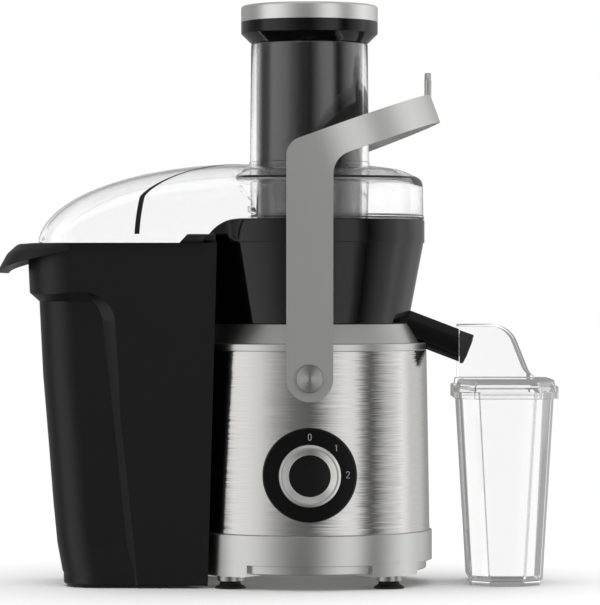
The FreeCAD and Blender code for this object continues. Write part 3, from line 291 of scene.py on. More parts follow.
# stainless sheet brushed round the sleeve: its level lines smear each upright band of light sideways
def brushedStainless():
    look = {"colour": "#CDCCCA", "roughness": 0.2, "lineHeight": 0.4, "lineLength": 34.0, "swing": 0.09}
    material, tree, shader = newMaterial("brushedStainlessSheet", look["colour"], look["roughness"], 1.0)
    coords = addNode(tree, "ShaderNodeTexCoord")
    # the lines are drawn coarser than real 0.1 mm brushing, so that they show
    stretch = (1000 / look["lineLength"], 1000 / look["lineLength"], 1000 / look["lineHeight"])
    mapping = addNode(tree, "ShaderNodeMapping", {"Scale": stretch}, {"Vector": coords.outputs["Object"]})
    lines = addNode(tree, "ShaderNodeTexNoise", {"Scale": 1.0, "Detail": 4.0, "Roughness": 0.75},
                    {"Vector": mapping.outputs["Vector"]})
    shade = addNode(tree, "ShaderNodeMapRange",
                    {"From Min": 0.3, "From Max": 0.7, "To Min": 0.1, "To Max": 0.2},
                    {"Value": lines.outputs["Fac"]})
    tree.links.new(shade.outputs["Result"], shader.inputs["Roughness"])
    tint = addNode(tree, "ShaderNodeValToRGB", None, {"Fac": lines.outputs["Fac"]})
    tint.color_ramp.elements[0].position = 0.3
    tint.color_ramp.elements[0].color = linearColour("#D3D2D0")
    tint.color_ramp.elements[1].position = 0.68
    tint.color_ramp.elements[1].color = linearColour("#E6E5E3")
    tree.links.new(tint.outputs["Color"], shader.inputs["Base Color"])
    # each line turns the surface a little to the left or right
    geometry = addNode(tree, "ShaderNodeNewGeometry")
    around = addNode(tree, "ShaderNodeVectorMath", {"operation": "CROSS_PRODUCT", 0: (0, 0, 1)},
                     {1: geometry.outputs["Normal"]})
    swing = addNode(tree, "ShaderNodeMapRange",
                    {"From Min": 0.25, "From Max": 0.75, "To Min": -look["swing"], "To Max": look["swing"]},
                    {"Value": lines.outputs["Fac"]})
    aside = addNode(tree, "ShaderNodeVectorMath", {"operation": "SCALE"},
                    {0: around.outputs["Vector"], "Scale": swing.outputs["Result"]})
    leaning = addNode(tree, "ShaderNodeVectorMath", {"operation": "ADD"},
                      {0: geometry.outputs["Normal"], 1: aside.outputs["Vector"]})
    unit = addNode(tree, "ShaderNodeVectorMath", {"operation": "NORMALIZE"}, {0: leaning.outputs["Vector"]})
    tree.links.new(unit.outputs["Vector"], shader.inputs["Normal"])
    shader.inputs["Anisotropic"].default_value = 0.5
    shader.inputs["Anisotropic Rotation"].default_value = 0.25
    return material


# blasted and lacquered metal: an even soft sheen with a grain that only close views show
def satinMetal(name, colour, roughness, grain=0.35):
    material, tree, shader = newMaterial(name, colour, roughness, 1.0)
    coords = addNode(tree, "ShaderNodeTexCoord")
    speckle = addNode(tree, "ShaderNodeTexNoise", {"Scale": 1000 / grain, "Detail": 2.0},
                      {"Vector": coords.outputs["Object"]})
    bump = addNode(tree, "ShaderNodeBump", {"Strength": 0.04, "Distance": 0.0001},
                   {"Height": speckle.outputs["Fac"]})
    tree.links.new(bump.outputs["Normal"], shader.inputs["Normal"])
    wear = addNode(tree, "ShaderNodeMapRange", {"To Min": roughness - 0.04, "To Max": roughness + 0.06},
                   {"Value": speckle.outputs["Fac"]})
    tree.links.new(wear.outputs["Result"], shader.inputs["Roughness"])
    return material


# injection-moulded ABS: a polished tool gives gloss, a spark-eroded one gives a fine even grain
def mouldedPlastic(name, colour, roughness, grain=0.0, bumpStrength=0.1):
    material, tree, shader = newMaterial(name, colour, roughness, 0.0, IOR=1.49)
    coords = addNode(tree, "ShaderNodeTexCoord")
    size = grain if grain else 9.0
    pattern = addNode(tree, "ShaderNodeTexNoise", {"Scale": 1000 / size, "Detail": 3.0},
                      {"Vector": coords.outputs["Object"]})
    spread = addNode(tree, "ShaderNodeMapRange",
                     {"To Min": max(roughness - 0.03, 0.02), "To Max": roughness + 0.04},
                     {"Value": pattern.outputs["Fac"]})
    tree.links.new(spread.outputs["Result"], shader.inputs["Roughness"])
    if grain:
        bump = addNode(tree, "ShaderNodeBump", {"Strength": bumpStrength, "Distance": 0.0001},
                       {"Height": pattern.outputs["Fac"]})
        tree.links.new(bump.outputs["Normal"], shader.inputs["Normal"])
    return material


# clear moulded polycarbonate: sharp bright edges, faint flow waviness, nearly no colour
def clearPolycarbonate(name, tint="#FFFFFF"):
    material, tree, shader = newMaterial(name, tint, 0.02, 0.0, IOR=1.585, Transmission_Weight=1.0)
    coords = addNode(tree, "ShaderNodeTexCoord")
    flow = addNode(tree, "ShaderNodeTexNoise", {"Scale": 1000 / 28.0, "Detail": 1.0},
                   {"Vector": coords.outputs["Object"]})
    bump = addNode(tree, "ShaderNodeBump", {"Strength": 0.03, "Distance": 0.001},
                   {"Height": flow.outputs["Fac"]})
    tree.links.new(bump.outputs["Normal"], shader.inputs["Normal"])
    return material


steel = brushedStainless()
silverLacquer = satinMetal("satinSilverLacquer", "#DEDEDC", 0.3)
castAluminium = satinMetal("blastedAluminium", "#E6E6E4", 0.38)
turnedSteel = satinMetal("turnedSteel", "#B4B4B2", 0.28)
spunSilver = satinMetal("spunSilverCap", "#F2F2F0", 0.34)
glossBlack = mouldedPlastic("polishedBlackAbs", "#040405", 0.08)
satinBlack = mouldedPlastic("sparkGrainBlackAbs", "#080809", 0.38, grain=0.7, bumpStrength=0.12)
dialBlack = mouldedPlastic("satinBlackDialAbs", "#0A0A0B", 0.2)
sealBlack = mouldedPlastic("secondShotBlackTpe", "#050505", 0.45)
housingBlack = mouldedPlastic("mattBlackHousing", "#151516", 0.5, grain=0.8)
feedGrey = mouldedPlastic("basketAbs", "#1B1B1C", 0.3)
rubber = mouldedPlastic("mouldedRubber", "#0C0C0C", 0.6, grain=0.5, bumpStrength=0.2)
printWhite = mouldedPlastic("padPrintedInk", "#A4A4A4", 0.5)
clearLid = clearPolycarbonate("clearPolycarbonateLid")
clearJug = clearPolycarbonate("clearSanJug")
print("stage: materials")


# base ring, feet and bottom

def makeBase():
    ring = {"chamfer": 0.6, "wall": 3.6, "floorWide": 11.0, "floorThick": 3.0, "overPan": 4.8,
            "tabHalfAngle": 15.0, "tabInner": 67.5, "tabRound": 1.0}
    here = span("base_ring")
    radius = here.x1
    bottom = span("bottom_pan").z1 - ring["overPan"]
    floorTop, floorInner = bottom + ring["floorThick"], radius - ring["floorWide"]
    outline = [
        (floorInner, bottom), (radius, bottom, ring["chamfer"]), (radius, here.z1, ring["chamfer"]),
        (radius - ring["wall"], here.z1), (radius - ring["wall"], floorTop), (floorInner, floorTop),
    ]
    bm = latheInto(bmesh.new(), filleted(outline, 4), segments=256)
    steps = 24
    for quarter in range(4):
        middle = math.radians(45 + 90 * quarter)
        half = math.radians(ring["tabHalfAngle"])
        angles = [middle - half + 2 * half * k / steps for k in range(steps + 1)]
        edges = [(radius, a) for a in angles] + [(ring["tabInner"], a) for a in reversed(angles)]
        corners = [(r * math.cos(a), r * math.sin(a)) for r, a in edges]
        plateInto(bm, corners, here.z0, bottom + 2.6, "z", ring["tabRound"])
    install(meshObject("baseRing", bm, silverLacquer), "root", "satin_silver", "base_ring")

    sheet = {"round": 1.4, "below": 0.4, "wall": 1.6, "floor": 1.8}
    pan = span("bottom_pan")
    top, inner, floor = pan.z1 - sheet["below"], pan.x1 - sheet["wall"], pan.z0 + sheet["floor"]
    outline = [(0, pan.z0), (pan.x1, pan.z0, sheet["round"]), (pan.x1, top), (inner, top), (inner, floor),
               (0, floor)]
    plate = lathe("bottomPan", outline, silverLacquer, segments=256)
    install(plate, "root", "satin_silver", "bottom_pan")

    for name in ("foot_back_right", "foot_back_left", "foot_front_left", "foot_front_right"):
        spot = span(name)
        centre = ((spot.x0 + spot.x1) / 2, (spot.y0 + spot.y1) / 2)
        wide = (spot.x1 - spot.x0) / 2
        top = spot.z1
        foot = [
            (0, 1.2), (wide * 0.42, 1.2, 0.5), (wide * 0.5, 0, 0.5), (wide, 0, 0.6), (wide, 1.0, 0.5),
            (wide * 0.7, 3.0, 1.2), (wide * 0.64, top, 0.3), (0, top),
        ]
        install(lathe(name + "Rubber", foot, rubber, centre, 96), "root", "rubber", name)
    print("stage: base")


def makeSleeve():
    sleeve = {"topShare": 0.9745, "wall": 0.8, "hem": 0.4}
    here = span("steel_sleeve")
    low, high = here.x1, here.x1 * sleeve["topShare"]
    outline = [
        (low - sleeve["wall"], here.z0), (low, here.z0, sleeve["hem"]), (high, here.z1, sleeve["hem"]),
        (high - sleeve["wall"], here.z1),
    ]
    install(lathe("steelSleeve", outline, steel, segments=256), "root", "brushed_steel", "steel_sleeve")

    collar = {"step": 5.2, "shoulder": 79.3, "round": 0.9, "wall": 2.5, "flangeWall": 3.0, "seat": 71.0,
              "sunk": 8.2, "shaftWay": 13.0, "ledgeThick": 2.2}
    top = span("top_collar")
    flange = max(top.x1, top.y1)
    ledge = top.z0 + collar["step"]
    rim = span("bowl").z0
    seat, shoulder, wall = collar["seat"], collar["shoulder"], collar["wall"]
    floor, under = rim - collar["sunk"], rim - collar["sunk"] - wall
    outline = [
        (flange - collar["flangeWall"], top.z0), (flange, top.z0, 0.5), (flange, ledge, collar["round"]),
        (shoulder, ledge, 0.6), (seat, rim, collar["round"]), (seat - wall, rim, 0.5),
        (seat - wall, floor), (collar["shaftWay"], floor), (collar["shaftWay"], under), (shoulder - 5, under),
        (shoulder - 3, ledge - collar["ledgeThick"]),
        (flange - collar["flangeWall"], ledge - collar["ledgeThick"]),
    ]
    ring = lathe("topCollar", outline, silverLacquer, segments=256)
    spout = span("juice_spout")
    slope = {"angle": 20.9, "section": 22.0, "gap": 0.5}
    angle = math.radians(slope["angle"])
    half = (spout.y1 - spout.y0) / 2 + slope["gap"]
    # the notch follows the underside of the spout
    near, far, above = 60, 95, 200
    lowest = spout.x1 - slope["section"] * math.sin(angle)
    start = (near, spout.z0 + (lowest - near) * math.tan(angle) - slope["gap"])
    end = (far, start[1] - (far - near) * math.tan(angle))
    notch = plateInto(bmesh.new(), [start, end, (far, above), (near, above)], -half, half, "y")
    combined(ring, rawObject("notch", notch), "DIFFERENCE")
    install(finishMesh(ring, silverLacquer), "root", "satin_silver", "top_collar")
    print("stage: sleeve and collar")


# one eight-sided section of the spout, square to its slope
def spoutRing(distance, halfWide, halfHigh, corner, origin, angle):
    down = Vector((math.cos(angle), 0, -math.sin(angle)))
    up = Vector((math.sin(angle), 0, math.cos(angle)))
    side = Vector((0, 1, 0))
    corners = [
        (halfWide - corner, -halfHigh), (halfWide, -halfHigh + corner), (halfWide, halfHigh - corner),
        (halfWide - corner, halfHigh), (-halfWide + corner, halfHigh), (-halfWide, halfHigh - corner),
        (-halfWide, -halfHigh + corner), (-halfWide + corner, -halfHigh),
    ]
    return [origin + down * distance + side * a + up * b for a, b in corners]


# the edge of the pulp outlet: an arc that falls away to the left from the rim
def outletEdge(right, arc, rim, reach, steps=14):
    drops = [reach * k / steps for k in range(steps + 1)]
    return [(right - math.sqrt(max(2 * arc * drop - drop * drop, 0)), rim - drop) for drop in drops]


def makeBowl():
    bowl = {"wall": 2.5, "band": 16.6, "footRadius": 71.0, "waist": 17.0, "waistRadius": 74.3, "groove": 0.7,
            "outletRight": -49.4, "arc": 27.7, "lipWidth": 60.0, "rim": 1.1, "hub": 12.0, "hubWay": 10.5,
            "hubTall": 19.8, "lipBelow": 11.0, "lipThick": 5.9, "lipSlope": 5.5, "lipRoot": -66.0}
    here = span("bowl")
    radius = here.y1
    rim, bottom = here.z1, here.z0
    band = rim - bowl["band"]
    foot, wall = bowl["footRadius"], bowl["wall"]
    waist, waistRadius = bottom + bowl["waist"], bowl["waistRadius"]
    hubTop, hubWay = bottom + bowl["hubTall"], bowl["hubWay"]
    # the hub is open, so the floor ends at the shaft's way
    outline = [
        (hubWay, bottom), (foot, bottom, 1.2), (waistRadius, waist, 14),
        (radius - 0.9, band - bowl["groove"], 0.2), (radius - 0.9, band, 0.2), (radius, band, 0.35),
        (radius, rim, bowl["rim"]), (radius - wall, rim, bowl["rim"]), (radius - wall, band),
        (waistRadius - wall, waist, 12), (foot - wall, bottom + wall, 3),
        (bowl["hub"] + 1, bottom + wall, 2), (bowl["hub"], hubTop, 0.8), (hubWay, hubTop, 0.4),
        (hubWay, bottom + 0.6),
    ]
    body = latheInto(bmesh.new(), filleted(outline, 8), segments=256)
    bowlPiece = meshObject("bowlMoulding", body, glossBlack)
    lipTop, lipLeft = rim - bowl["lipBelow"], here.x0
    lipLow, lipRoot = lipTop - bowl["lipThick"], bowl["lipRoot"]
    lip = plateInto(bmesh.new(), filleted([
        (lipLeft, lipLow), (lipLeft + bowl["lipSlope"], lipTop, 0.8), (lipRoot, lipTop),
        (lipRoot, lipLow)], 4),
        -bowl["lipWidth"], bowl["lipWidth"], "y", 0.5)
    tongue = rawObject("tongue", lip)
    within = radius - 1.2
    core = [(0, bottom - 1), (within, bottom - 1), (within, rim + 1), (0, rim + 1)]
    combined(tongue, rawObject("core", latheInto(bmesh.new(), core, segments=256)), "DIFFERENCE")
    combined(bowlPiece, tongue, "UNION")
    right = bowl["outletRight"]
    edge = [(right, rim + 4)] + outletEdge(right, bowl["arc"], rim, rim - lipTop)
    edge += [(lipLeft - 4, lipTop), (lipLeft - 4, rim + 4)]
    opening = plateInto(bmesh.new(), edge, -radius - 5, radius + 5, "y")
    combined(bowlPiece, rawObject("opening", opening), "DIFFERENCE")
    install(finishMesh(bowlPiece, glossBlack), "root", "gloss_black", "bowl")

    spout = {"angle": 20.9, "section": 22.0, "wall": 2.2, "cornerShare": 0.45, "bevel": 0.7, "length": 62.5}
    there = span("juice_spout")
    angle = math.radians(spout["angle"])
    halfWide = (there.y1 - there.y0) / 2
    halfHigh = spout["section"] / 2
    corner = halfWide * spout["cornerShare"]
    # the end face's middle, from the lowest corner of the tip
    tip = Vector((there.x1 - halfHigh * math.sin(angle), 0, there.z0 + halfHigh * math.cos(angle)))
    length = spout["length"]
    innerWide, innerHigh = halfWide - spout["wall"], halfHigh - spout["wall"]
    sections = [
        spoutRing(-length, halfWide, halfHigh, corner, tip, angle),
        spoutRing(-spout["bevel"], halfWide, halfHigh, corner, tip, angle),
        spoutRing(0, halfWide - 0.5, halfHigh - 0.5, corner, tip, angle),
        spoutRing(0, innerWide, innerHigh, corner * 0.8, tip, angle),
        spoutRing(-length + 2, innerWide, innerHigh, corner * 0.8, tip, angle),
    ]
    bm = layersInto(bmesh.new(), sections)
    down = Vector((math.cos(angle), 0, -math.sin(angle)))
    runs = [(e, e.verts[0].co - e.verts[1].co) for e in bm.edges]
    long = [e for e, run in runs if abs(run.normalized().dot(down)) > 0.99 and run.length > 40]
    bmesh.ops.bevel(bm, geom=long, offset=spout["bevel"], segments=3, profile=0.5, affect="EDGES")
    tube = meshObject("juiceSpout", bm, glossBlack, 25)
    solid = latheInto(bmesh.new(), filleted([
        (0, bottom), (foot, bottom), (waistRadius, waist, 14), (radius, band), (radius, rim), (0, rim)], 8),
        segments=256)
    combined(tube, rawObject("bowlSolid", solid), "DIFFERENCE")
    install(finishMesh(tube, glossBlack, 25), "root", "gloss_black", "juice_spout")
    print("stage: bowl and spout")


# lid

def domeHeight(x, shape, inset=0.0):
    run = min(max((x - shape["middle"]) / (shape["left"] + inset - shape["middle"]), 0), 1)
    return (shape["top"] - shape["bottom"] - inset) * math.sqrt(1 - run * run)


def domeHalf(x, shape, inset=0.0):
    corner = shape["corner"] - inset
    toEnd = x - shape["left"] - inset
    half = shape["half"] - inset
    if toEnd < corner:
        half -= corner - math.sqrt(max(corner ** 2 - (corner - toEnd) ** 2, 0))
    return half


# a point of the wing's skin; the angle runs over its section from the front (0) to the back (pi)
def domePoint(x, angle, shape, inset=0.0):
    power = 2 / shape["squareness"]
    y = -math.copysign(abs(math.cos(angle)) ** power, math.cos(angle)) * domeHalf(x, shape, inset)
    return x, y, shape["bottom"] + domeHeight(x, shape, inset) * abs(math.sin(angle)) ** power


# sections of the lid's wing from its left end to the motor axis
def domeRings(inset, bottom, shape, count=44):
    left = shape["left"] + inset
    rings = []
    for i in range(count + 6):
        if i < count:
            angle = math.pi / 2 * (1 - i / (count - 1))
            x = shape["middle"] + (left + 0.05 - shape["middle"]) * math.sin(angle)
        else:
            x = shape["middle"] + (0 - shape["middle"]) * (i - count + 1) / 6
        ring = [domePoint(x, math.pi * k / 72, shape, inset) for k in range(73)]
        ring[0] = (ring[0][0], ring[0][1], bottom)
        ring[-1] = (ring[-1][0], ring[-1][1], bottom)
        rings.append(ring)
    return rings


def makeLid():
    lid = {"wall": 2.0, "rimStep": 2.6, "shoulder": 28.5, "skirtDepth": 4.5, "skirtWide": 2.0, "gap": 2.6,
           "crownIn": 17.0, "crownDrop": 3.0, "chuteRadius": 43.3, "top": 38.7, "outletRight": -49.4,
           "arc": 27.7}
    here = span("lid_shell")
    radius = here.x1
    rim = span("bowl").z1 + 0.3
    shape = {"left": here.x0 + 2.6, "middle": -45.0, "bottom": here.z0, "top": here.z1, "half": 73.5,
             "corner": 32.0, "squareness": 3.4}
    side, wall, chute = radius - 0.6, lid["wall"], lid["chuteRadius"]
    top, step, shoulder = rim + lid["top"], rim + lid["rimStep"], rim + lid["shoulder"]
    skirtOut = radius - lid["gap"]
    skirtIn = skirtOut - lid["skirtWide"]
    outer = filleted([
        (0, rim), (radius, rim, 0.5), (radius, step, 0.6), (side, step, 0.3), (side - 0.4, shoulder, 7),
        (radius - lid["crownIn"], top - lid["crownDrop"], 30), (chute, top), (0, top)], 10)
    inner = filleted([
        (0, rim - 6), (skirtIn, rim - 6), (skirtIn, rim + 0.7), (side - wall, rim + 1.5),
        (side - wall - 0.4, shoulder - 2.1, 5.5), (radius - 18.5, top - 5.4, 28), (chute - 1, top - wall),
        (0, top - wall)], 10)
    hem = rim - lid["skirtDepth"]
    skirt = filleted([
        (skirtIn, hem, 0.5), (skirtOut, hem, 0.5), (skirtOut, rim + 1.4), (skirtIn, rim + 1.4)], 3)
    shell = rawObject("lidShell", latheInto(bmesh.new(), outer, segments=192))
    wing = rawObject("wing", layersInto(bmesh.new(), domeRings(0, shape["bottom"], shape)))
    low = shape["bottom"]
    arc = outletEdge(lid["outletRight"], lid["arc"], rim, rim - low)
    edge = [(arc[-1][0], low - 8)] + arc[::-1] + [(6, rim), (6, low - 8)]
    combined(wing, rawObject("under", plateInto(bmesh.new(), edge, -90, 90, "y")), "DIFFERENCE")
    combined(shell, wing, "UNION")
    combined(shell, rawObject("skirt", latheInto(bmesh.new(), skirt, segments=192)), "UNION")
    combined(shell, rawObject("inside", latheInto(bmesh.new(), inner, segments=192)), "DIFFERENCE")
    hollow = layersInto(bmesh.new(), domeRings(wall, shape["bottom"] - 6, shape))
    combined(shell, rawObject("wingInside", hollow), "DIFFERENCE")
    hole = [(0, rim + 5), (chute, rim + 5), (chute, rim + 60), (0, rim + 60)]
    combined(shell, rawObject("chuteHole", latheInto(bmesh.new(), hole, segments=192)), "DIFFERENCE")
    gap = [(skirtOut, rim - 25), (radius + 0.8, rim - 25), (radius + 0.8, rim), (skirtOut, rim)]
    combined(shell, rawObject("bowlGap", latheInto(bmesh.new(), gap, segments=192)), "DIFFERENCE")
    install(finishMesh(shell, clearLid, 28), "lid", "clear", "lid_shell")

    # the black seal that crosses the wing, thick on the front wall and thin on the roof
    seal = {"x": -121.2, "lean": 3.6, "run": 72.0, "wide": 3.5, "thin": 1.2, "proud": 0.15, "deep": 0.9,
            "bend": 28.0, "first": 1.5, "sweep": 86.5, "steps": 60}
    layers = []
    for k in range(seal["steps"] + 1):
        degrees = seal["first"] + seal["sweep"] * k / seal["steps"]
        over = max(degrees - seal["bend"], 0) / (90 - seal["bend"])
        x = seal["x"] + seal["lean"] * min(degrees / seal["bend"], 1) + seal["run"] * over ** 1.35
        wide = seal["wide"] + (seal["thin"] - seal["wide"]) * min(over * 1.6, 1)
        angle = math.radians(degrees)
        corners = [(-1, -seal["proud"]), (1, -seal["proud"]), (1, seal["deep"]), (-1, seal["deep"])]
        layers.append([domePoint(x + end * wide / 2, angle, shape, depth) for end, depth in corners])
    strip = meshObject("lidSeal", layersInto(bmesh.new(), layers), sealBlack, 40)
    install(strip, "lid", "rubber", "lid_seal")

    tube = {"wall": 4.0, "upper": 85.0, "ledge": 0.5, "taper": 1.3, "lowWall": 2.0}
    there = span("feed_chute")
    wide = there.x1
    base = there.z1 - tube["upper"]
    inside = wide - tube["wall"]
    outline = [
        (inside, there.z0, 0.6), (inside + tube["lowWall"], there.z0, 0.6), (wide - 0.5, base - 15),
        (wide, base - 9), (wide, base, 0.3), (wide - tube["ledge"], base + 0.3),
        (wide - tube["taper"], there.z1, 0.8), (inside, there.z1, 0.8),
    ]
    install(lathe("feedChute", outline, clearLid, segments=192), "lid", "clear", "feed_chute")
    print("stage: lid")


def makePusher():
    pusher = {"wall": 2.5, "floor": 3.0, "neck": 33.0, "flare": 7.0, "capRound": 2.2}
    cup = span("pusher_body")
    r = cup.x1
    inside, floor = r - pusher["wall"], cup.z0 + pusher["floor"]
    outline = [(0, cup.z0), (r, cup.z0, 2.5), (r, cup.z1, 0.3), (inside, cup.z1), (inside, floor, 3),
               (0, floor)]
    install(lathe("pusherBody", outline, glossBlack), "pusher", "gloss_black", "pusher_body")
    ring = span("pusher_collar")
    wide = ring.x1
    neck = pusher["neck"]
    outline = [(neck, ring.z0 + 5), (r, ring.z0 + 4.6), (r, ring.z0, 0.2), (wide - 7.2, ring.z0, 0.8),
               (wide, ring.z0 + pusher["flare"], 1.6), (wide, ring.z1, 0.5), (neck, ring.z1)]
    install(lathe("pusherCollar", outline, glossBlack), "pusher", "gloss_black", "pusher_collar")
    cap = span("pusher_cap")
    outline = [(0, cap.z0), (wide, cap.z0, 0.5), (wide, cap.z1, pusher["capRound"]), (0, cap.z1)]
    install(lathe("pusherCap", outline, spunSilver, steps=8), "pusher", "cap_silver", "pusher_cap")
    print("stage: pusher")


# locking bail

def makeBail():
    bail = {"halfLeg": 16.35, "halfStrip": 10.5, "thick": 4.0, "tilt": 20.0, "centreX": 5.0, "centreZ": 309.6,
            "outerRound": 13.0, "innerRound": 16.0, "edge": 0.7, "legSteps": 24, "bendSteps": 72,
            "tabHalf": 15.0, "tabRound": 6.0, "tabLeft": 83.2, "tabThick": 4.0, "tabTall": 22.0}
    here = span("locking_bail")
    tilt = math.radians(bail["tilt"])
    along = Vector((math.cos(tilt), math.sin(tilt)))
    across = Vector((-math.sin(tilt), math.cos(tilt)))
    centre = Vector((bail["centreX"], bail["centreZ"]))
    pivot = here.z0 + bail["halfLeg"]
    outer = here.y1
    mean = outer - bail["thick"] / 2
    half = math.pi * mean / 2

    # a place in the leg's plane as (distance along the strip, height across it)
    def flat(x, z):
        away = Vector((x, z)) - centre
        return away.dot(along), away.dot(across)

    leg, strip = bail["halfLeg"], bail["halfStrip"]
    topAtLeft = centre.y + strip / math.cos(tilt) + (-leg - centre.x) * math.tan(tilt)
    lowAtRight = centre.y - strip / math.cos(tilt) + (leg - centre.x) * math.tan(tilt)
    # half of the flat pattern: round the leg's end, up its left side, round the corner, along the strip
    turns = [-math.pi * k / bail["legSteps"] for k in range(bail["legSteps"] + 1)]
    bottom = [(leg * math.cos(a), pivot + leg * math.sin(a)) for a in turns]
    left = filleted([bottom[-1], (-leg, topAtLeft, bail["outerRound"]),
                     tuple(centre + across * strip + along * 20)], 10, closed=False)
    right = filleted([tuple(centre - across * strip + along * 60), (leg, lowAtRight, bail["innerRound"]),
                      bottom[0]], 10, closed=False)
    start = [flat(*p) for p in bottom[:-1]] + [flat(*p) for p in left[:-1]]
    back = [flat(*p) for p in right[1:-1]]
    # mirror about the strip's middle
    outline = start + [(2 * half - s, t) for s, t in start[::-1] + back[::-1]] + back
    bm = bmesh.new()
    plateInto(bm, outline, -bail["thick"] / 2, bail["thick"] / 2, "z", bail["edge"])
    for k in range(bail["bendSteps"] + 1):
        s = 2 * half * k / bail["bendSteps"]
        bmesh.ops.bisect_plane(bm, geom=bm.verts[:] + bm.edges[:] + bm.faces[:], plane_co=(s, 0, 0),
                               plane_no=(1, 0, 0))
    for v in bm.verts:
        s, t, depth = v.co
        if s <= 0:
            reach, y = s, -mean + depth
        elif s >= 2 * half:
            reach, y = 2 * half - s, mean - depth
        else:
            bend = s / mean
            reach, y = (mean - depth) * math.sin(bend), -(mean - depth) * math.cos(bend)
        place = centre + along * reach + across * t
        v.co = (place.x, y, place.y)
    strap = meshObject("lockingBail", bm, castAluminium, 30)

    wide, top, corner, left = bail["tabHalf"], here.z1, bail["tabRound"], bail["tabLeft"]
    low = top - bail["tabTall"]
    outline = filleted([(-wide, low), (wide, low), (wide, top, corner), (-wide, top, corner)], 8)
    tab = plateInto(bmesh.new(), outline, left, left + bail["tabThick"], "x", 1.2, 4)
    combined(strap, rawObject("fingerTab", tab), "UNION")
    install(finishMesh(strap, castAluminium, 30), "bail", "bail_metal", "locking_bail")

    pin = {"inner": 76.0, "radius": 5.0, "ringStep": 0.38, "rings": 22}
    pins = span("pivot_pins")
    capRadius = (pins.x1 - pins.x0) / 2
    middle = (pins.z0 + pins.z1) / 2
    bm = bmesh.new()
    for side in (1, -1):
        # the tool leaves rings on the cap's face
        rings = [(capRadius - 1.4 - pin["ringStep"] * k, pins.y1 - (0.05 if k % 2 else 0.16))
                 for k in range(pin["rings"])]
        button = latheInto(bmesh.new(), filleted([
            (0, pin["inner"]), (pin["radius"], pin["inner"]), (pin["radius"], outer - 0.1),
            (capRadius, outer - 0.1), (capRadius, pins.y1, 0.5), (capRadius - 1.0, pins.y1, 0.2)]
            + rings + [(0, pins.y1 - 0.1)], 5), segments=96)
        turnedAway(button, middle)
        if side < 0:
            halfTurn = Matrix.Rotation(math.pi, 3, "Z")
            bmesh.ops.rotate(button, verts=button.verts, cent=(0, 0, 0), matrix=halfTurn)
        spare = bpy.data.meshes.new("spare")
        button.to_mesh(spare)
        button.free()
        bm.from_mesh(spare)
        bpy.data.meshes.remove(spare)
    install(meshObject("pivotPins", bm, turnedSteel), "bail", "pin_metal", "pivot_pins")
    print("stage: bail")


# dial

def makeDial():
    dial = {"back": 70.0, "bore": 6.0, "edge": 1.2}
    bezel = span("dial_bezel")
    height = (bezel.z0 + bezel.z1) / 2
    radius = (bezel.x1 - bezel.x0) / 2
    front = -bezel.y0
    back = bmesh.new()
    bore, deep = dial["bore"], dial["back"]
    ring = filleted([(bore, deep), (radius, deep), (radius, front, dial["edge"]), (bore, front)], 6)
    latheInto(back, ring, segments=192)
    turnedAway(back, height)
    disc = rawObject("dialBezel", back)
    sleeve = span("steel_sleeve")
    low, high = sleeve.x1 + 0.05, sleeve.x1 * 0.9745 + 0.05
    solid = [(0, sleeve.z0), (low, sleeve.z0), (high, sleeve.z1), (0, sleeve.z1)]
    combined(disc, rawObject("sleeveSolid", latheInto(bmesh.new(), solid, segments=256)), "DIFFERENCE")
    install(finishMesh(disc, glossBlack), "root", "gloss_black", "dial_bezel")

    knob = span("dial_knob")
    wide = (knob.x1 - knob.x0) / 2
    near, far = -knob.y1, -knob.y0
    inner = span("dial_cap")
    capRadius = (inner.x1 - inner.x0) / 2
    bm = latheInto(bmesh.new(), filleted([
        (capRadius, near), (wide - 0.3, near, 0.3), (wide, far - 1.6, 0.8), (wide - 1.5, far, 0.5),
        (wide - 2.8, far, 0.5), (capRadius + 0.4, far - 3.4, 0.4), (capRadius, far - 3.6)], 5), segments=160)
    install(meshObject("dialKnob", turnedAway(bm, height), spunSilver), "dial", "cap_silver", "dial_knob")
    bm = latheInto(bmesh.new(), filleted([
        (3, -inner.y1), (capRadius, -inner.y1), (capRadius, far - 4.0, 0.6), (0, far - 3.9), (0, far - 6),
        (3, far - 6)], 5), segments=160)
    install(meshObject("dialCap", turnedAway(bm, height), dialBlack), "dial", "gloss_black", "dial_cap")

    digits = {"ring": 26.6, "tall": 4.5, "stroke": 0.5, "relief": 0.12}
    # each digit by its angle round the dial, as a line in a box one unit tall
    strokes = {
        0: [(0.3 + 0.26 * math.sin(a) * (1 + 0.12 * math.cos(2 * a)), 0.5 + 0.5 * math.cos(a))
            for a in (2 * math.pi * k / 24 for k in range(25))],
        44: [(0.1, 0.8), (0.34, 0.98), (0.34, 0.0)],
        89: [(0.05, 0.76), (0.1, 0.9), (0.3, 1.0), (0.5, 0.9), (0.54, 0.72), (0.44, 0.5), (0.04, 0.0),
             (0.58, 0.0)],
    }
    bm = bmesh.new()
    for turn, points in strokes.items():
        angle = math.radians(turn)
        corner = Vector((digits["ring"] * math.sin(angle) - 0.3 * digits["tall"],
                         height + digits["ring"] * math.cos(angle) - 0.5 * digits["tall"]))
        line = [corner + Vector(point) * digits["tall"] for point in points]
        layers = []
        face, root = -front - digits["relief"], -front + 0.05
        for k, here in enumerate(line):
            ahead = line[min(k + 1, len(line) - 1)] - line[max(k - 1, 0)]
            # the round digit closes on itself
            if turn == 0 and k in (0, len(line) - 1):
                ahead = line[1] - line[-2]
            across = Vector((-ahead.y, ahead.x)).normalized() * digits["stroke"] / 2
            a, b = here - across, here + across
            layers.append([(a.x, face, a.y), (b.x, face, b.y), (b.x, root, b.y), (a.x, root, a.y)])
        layersInto(bm, layers)
    install(meshObject("dialDigits", bm, printWhite), "root", "gloss_black")
    print("stage: dial")


# pulp container

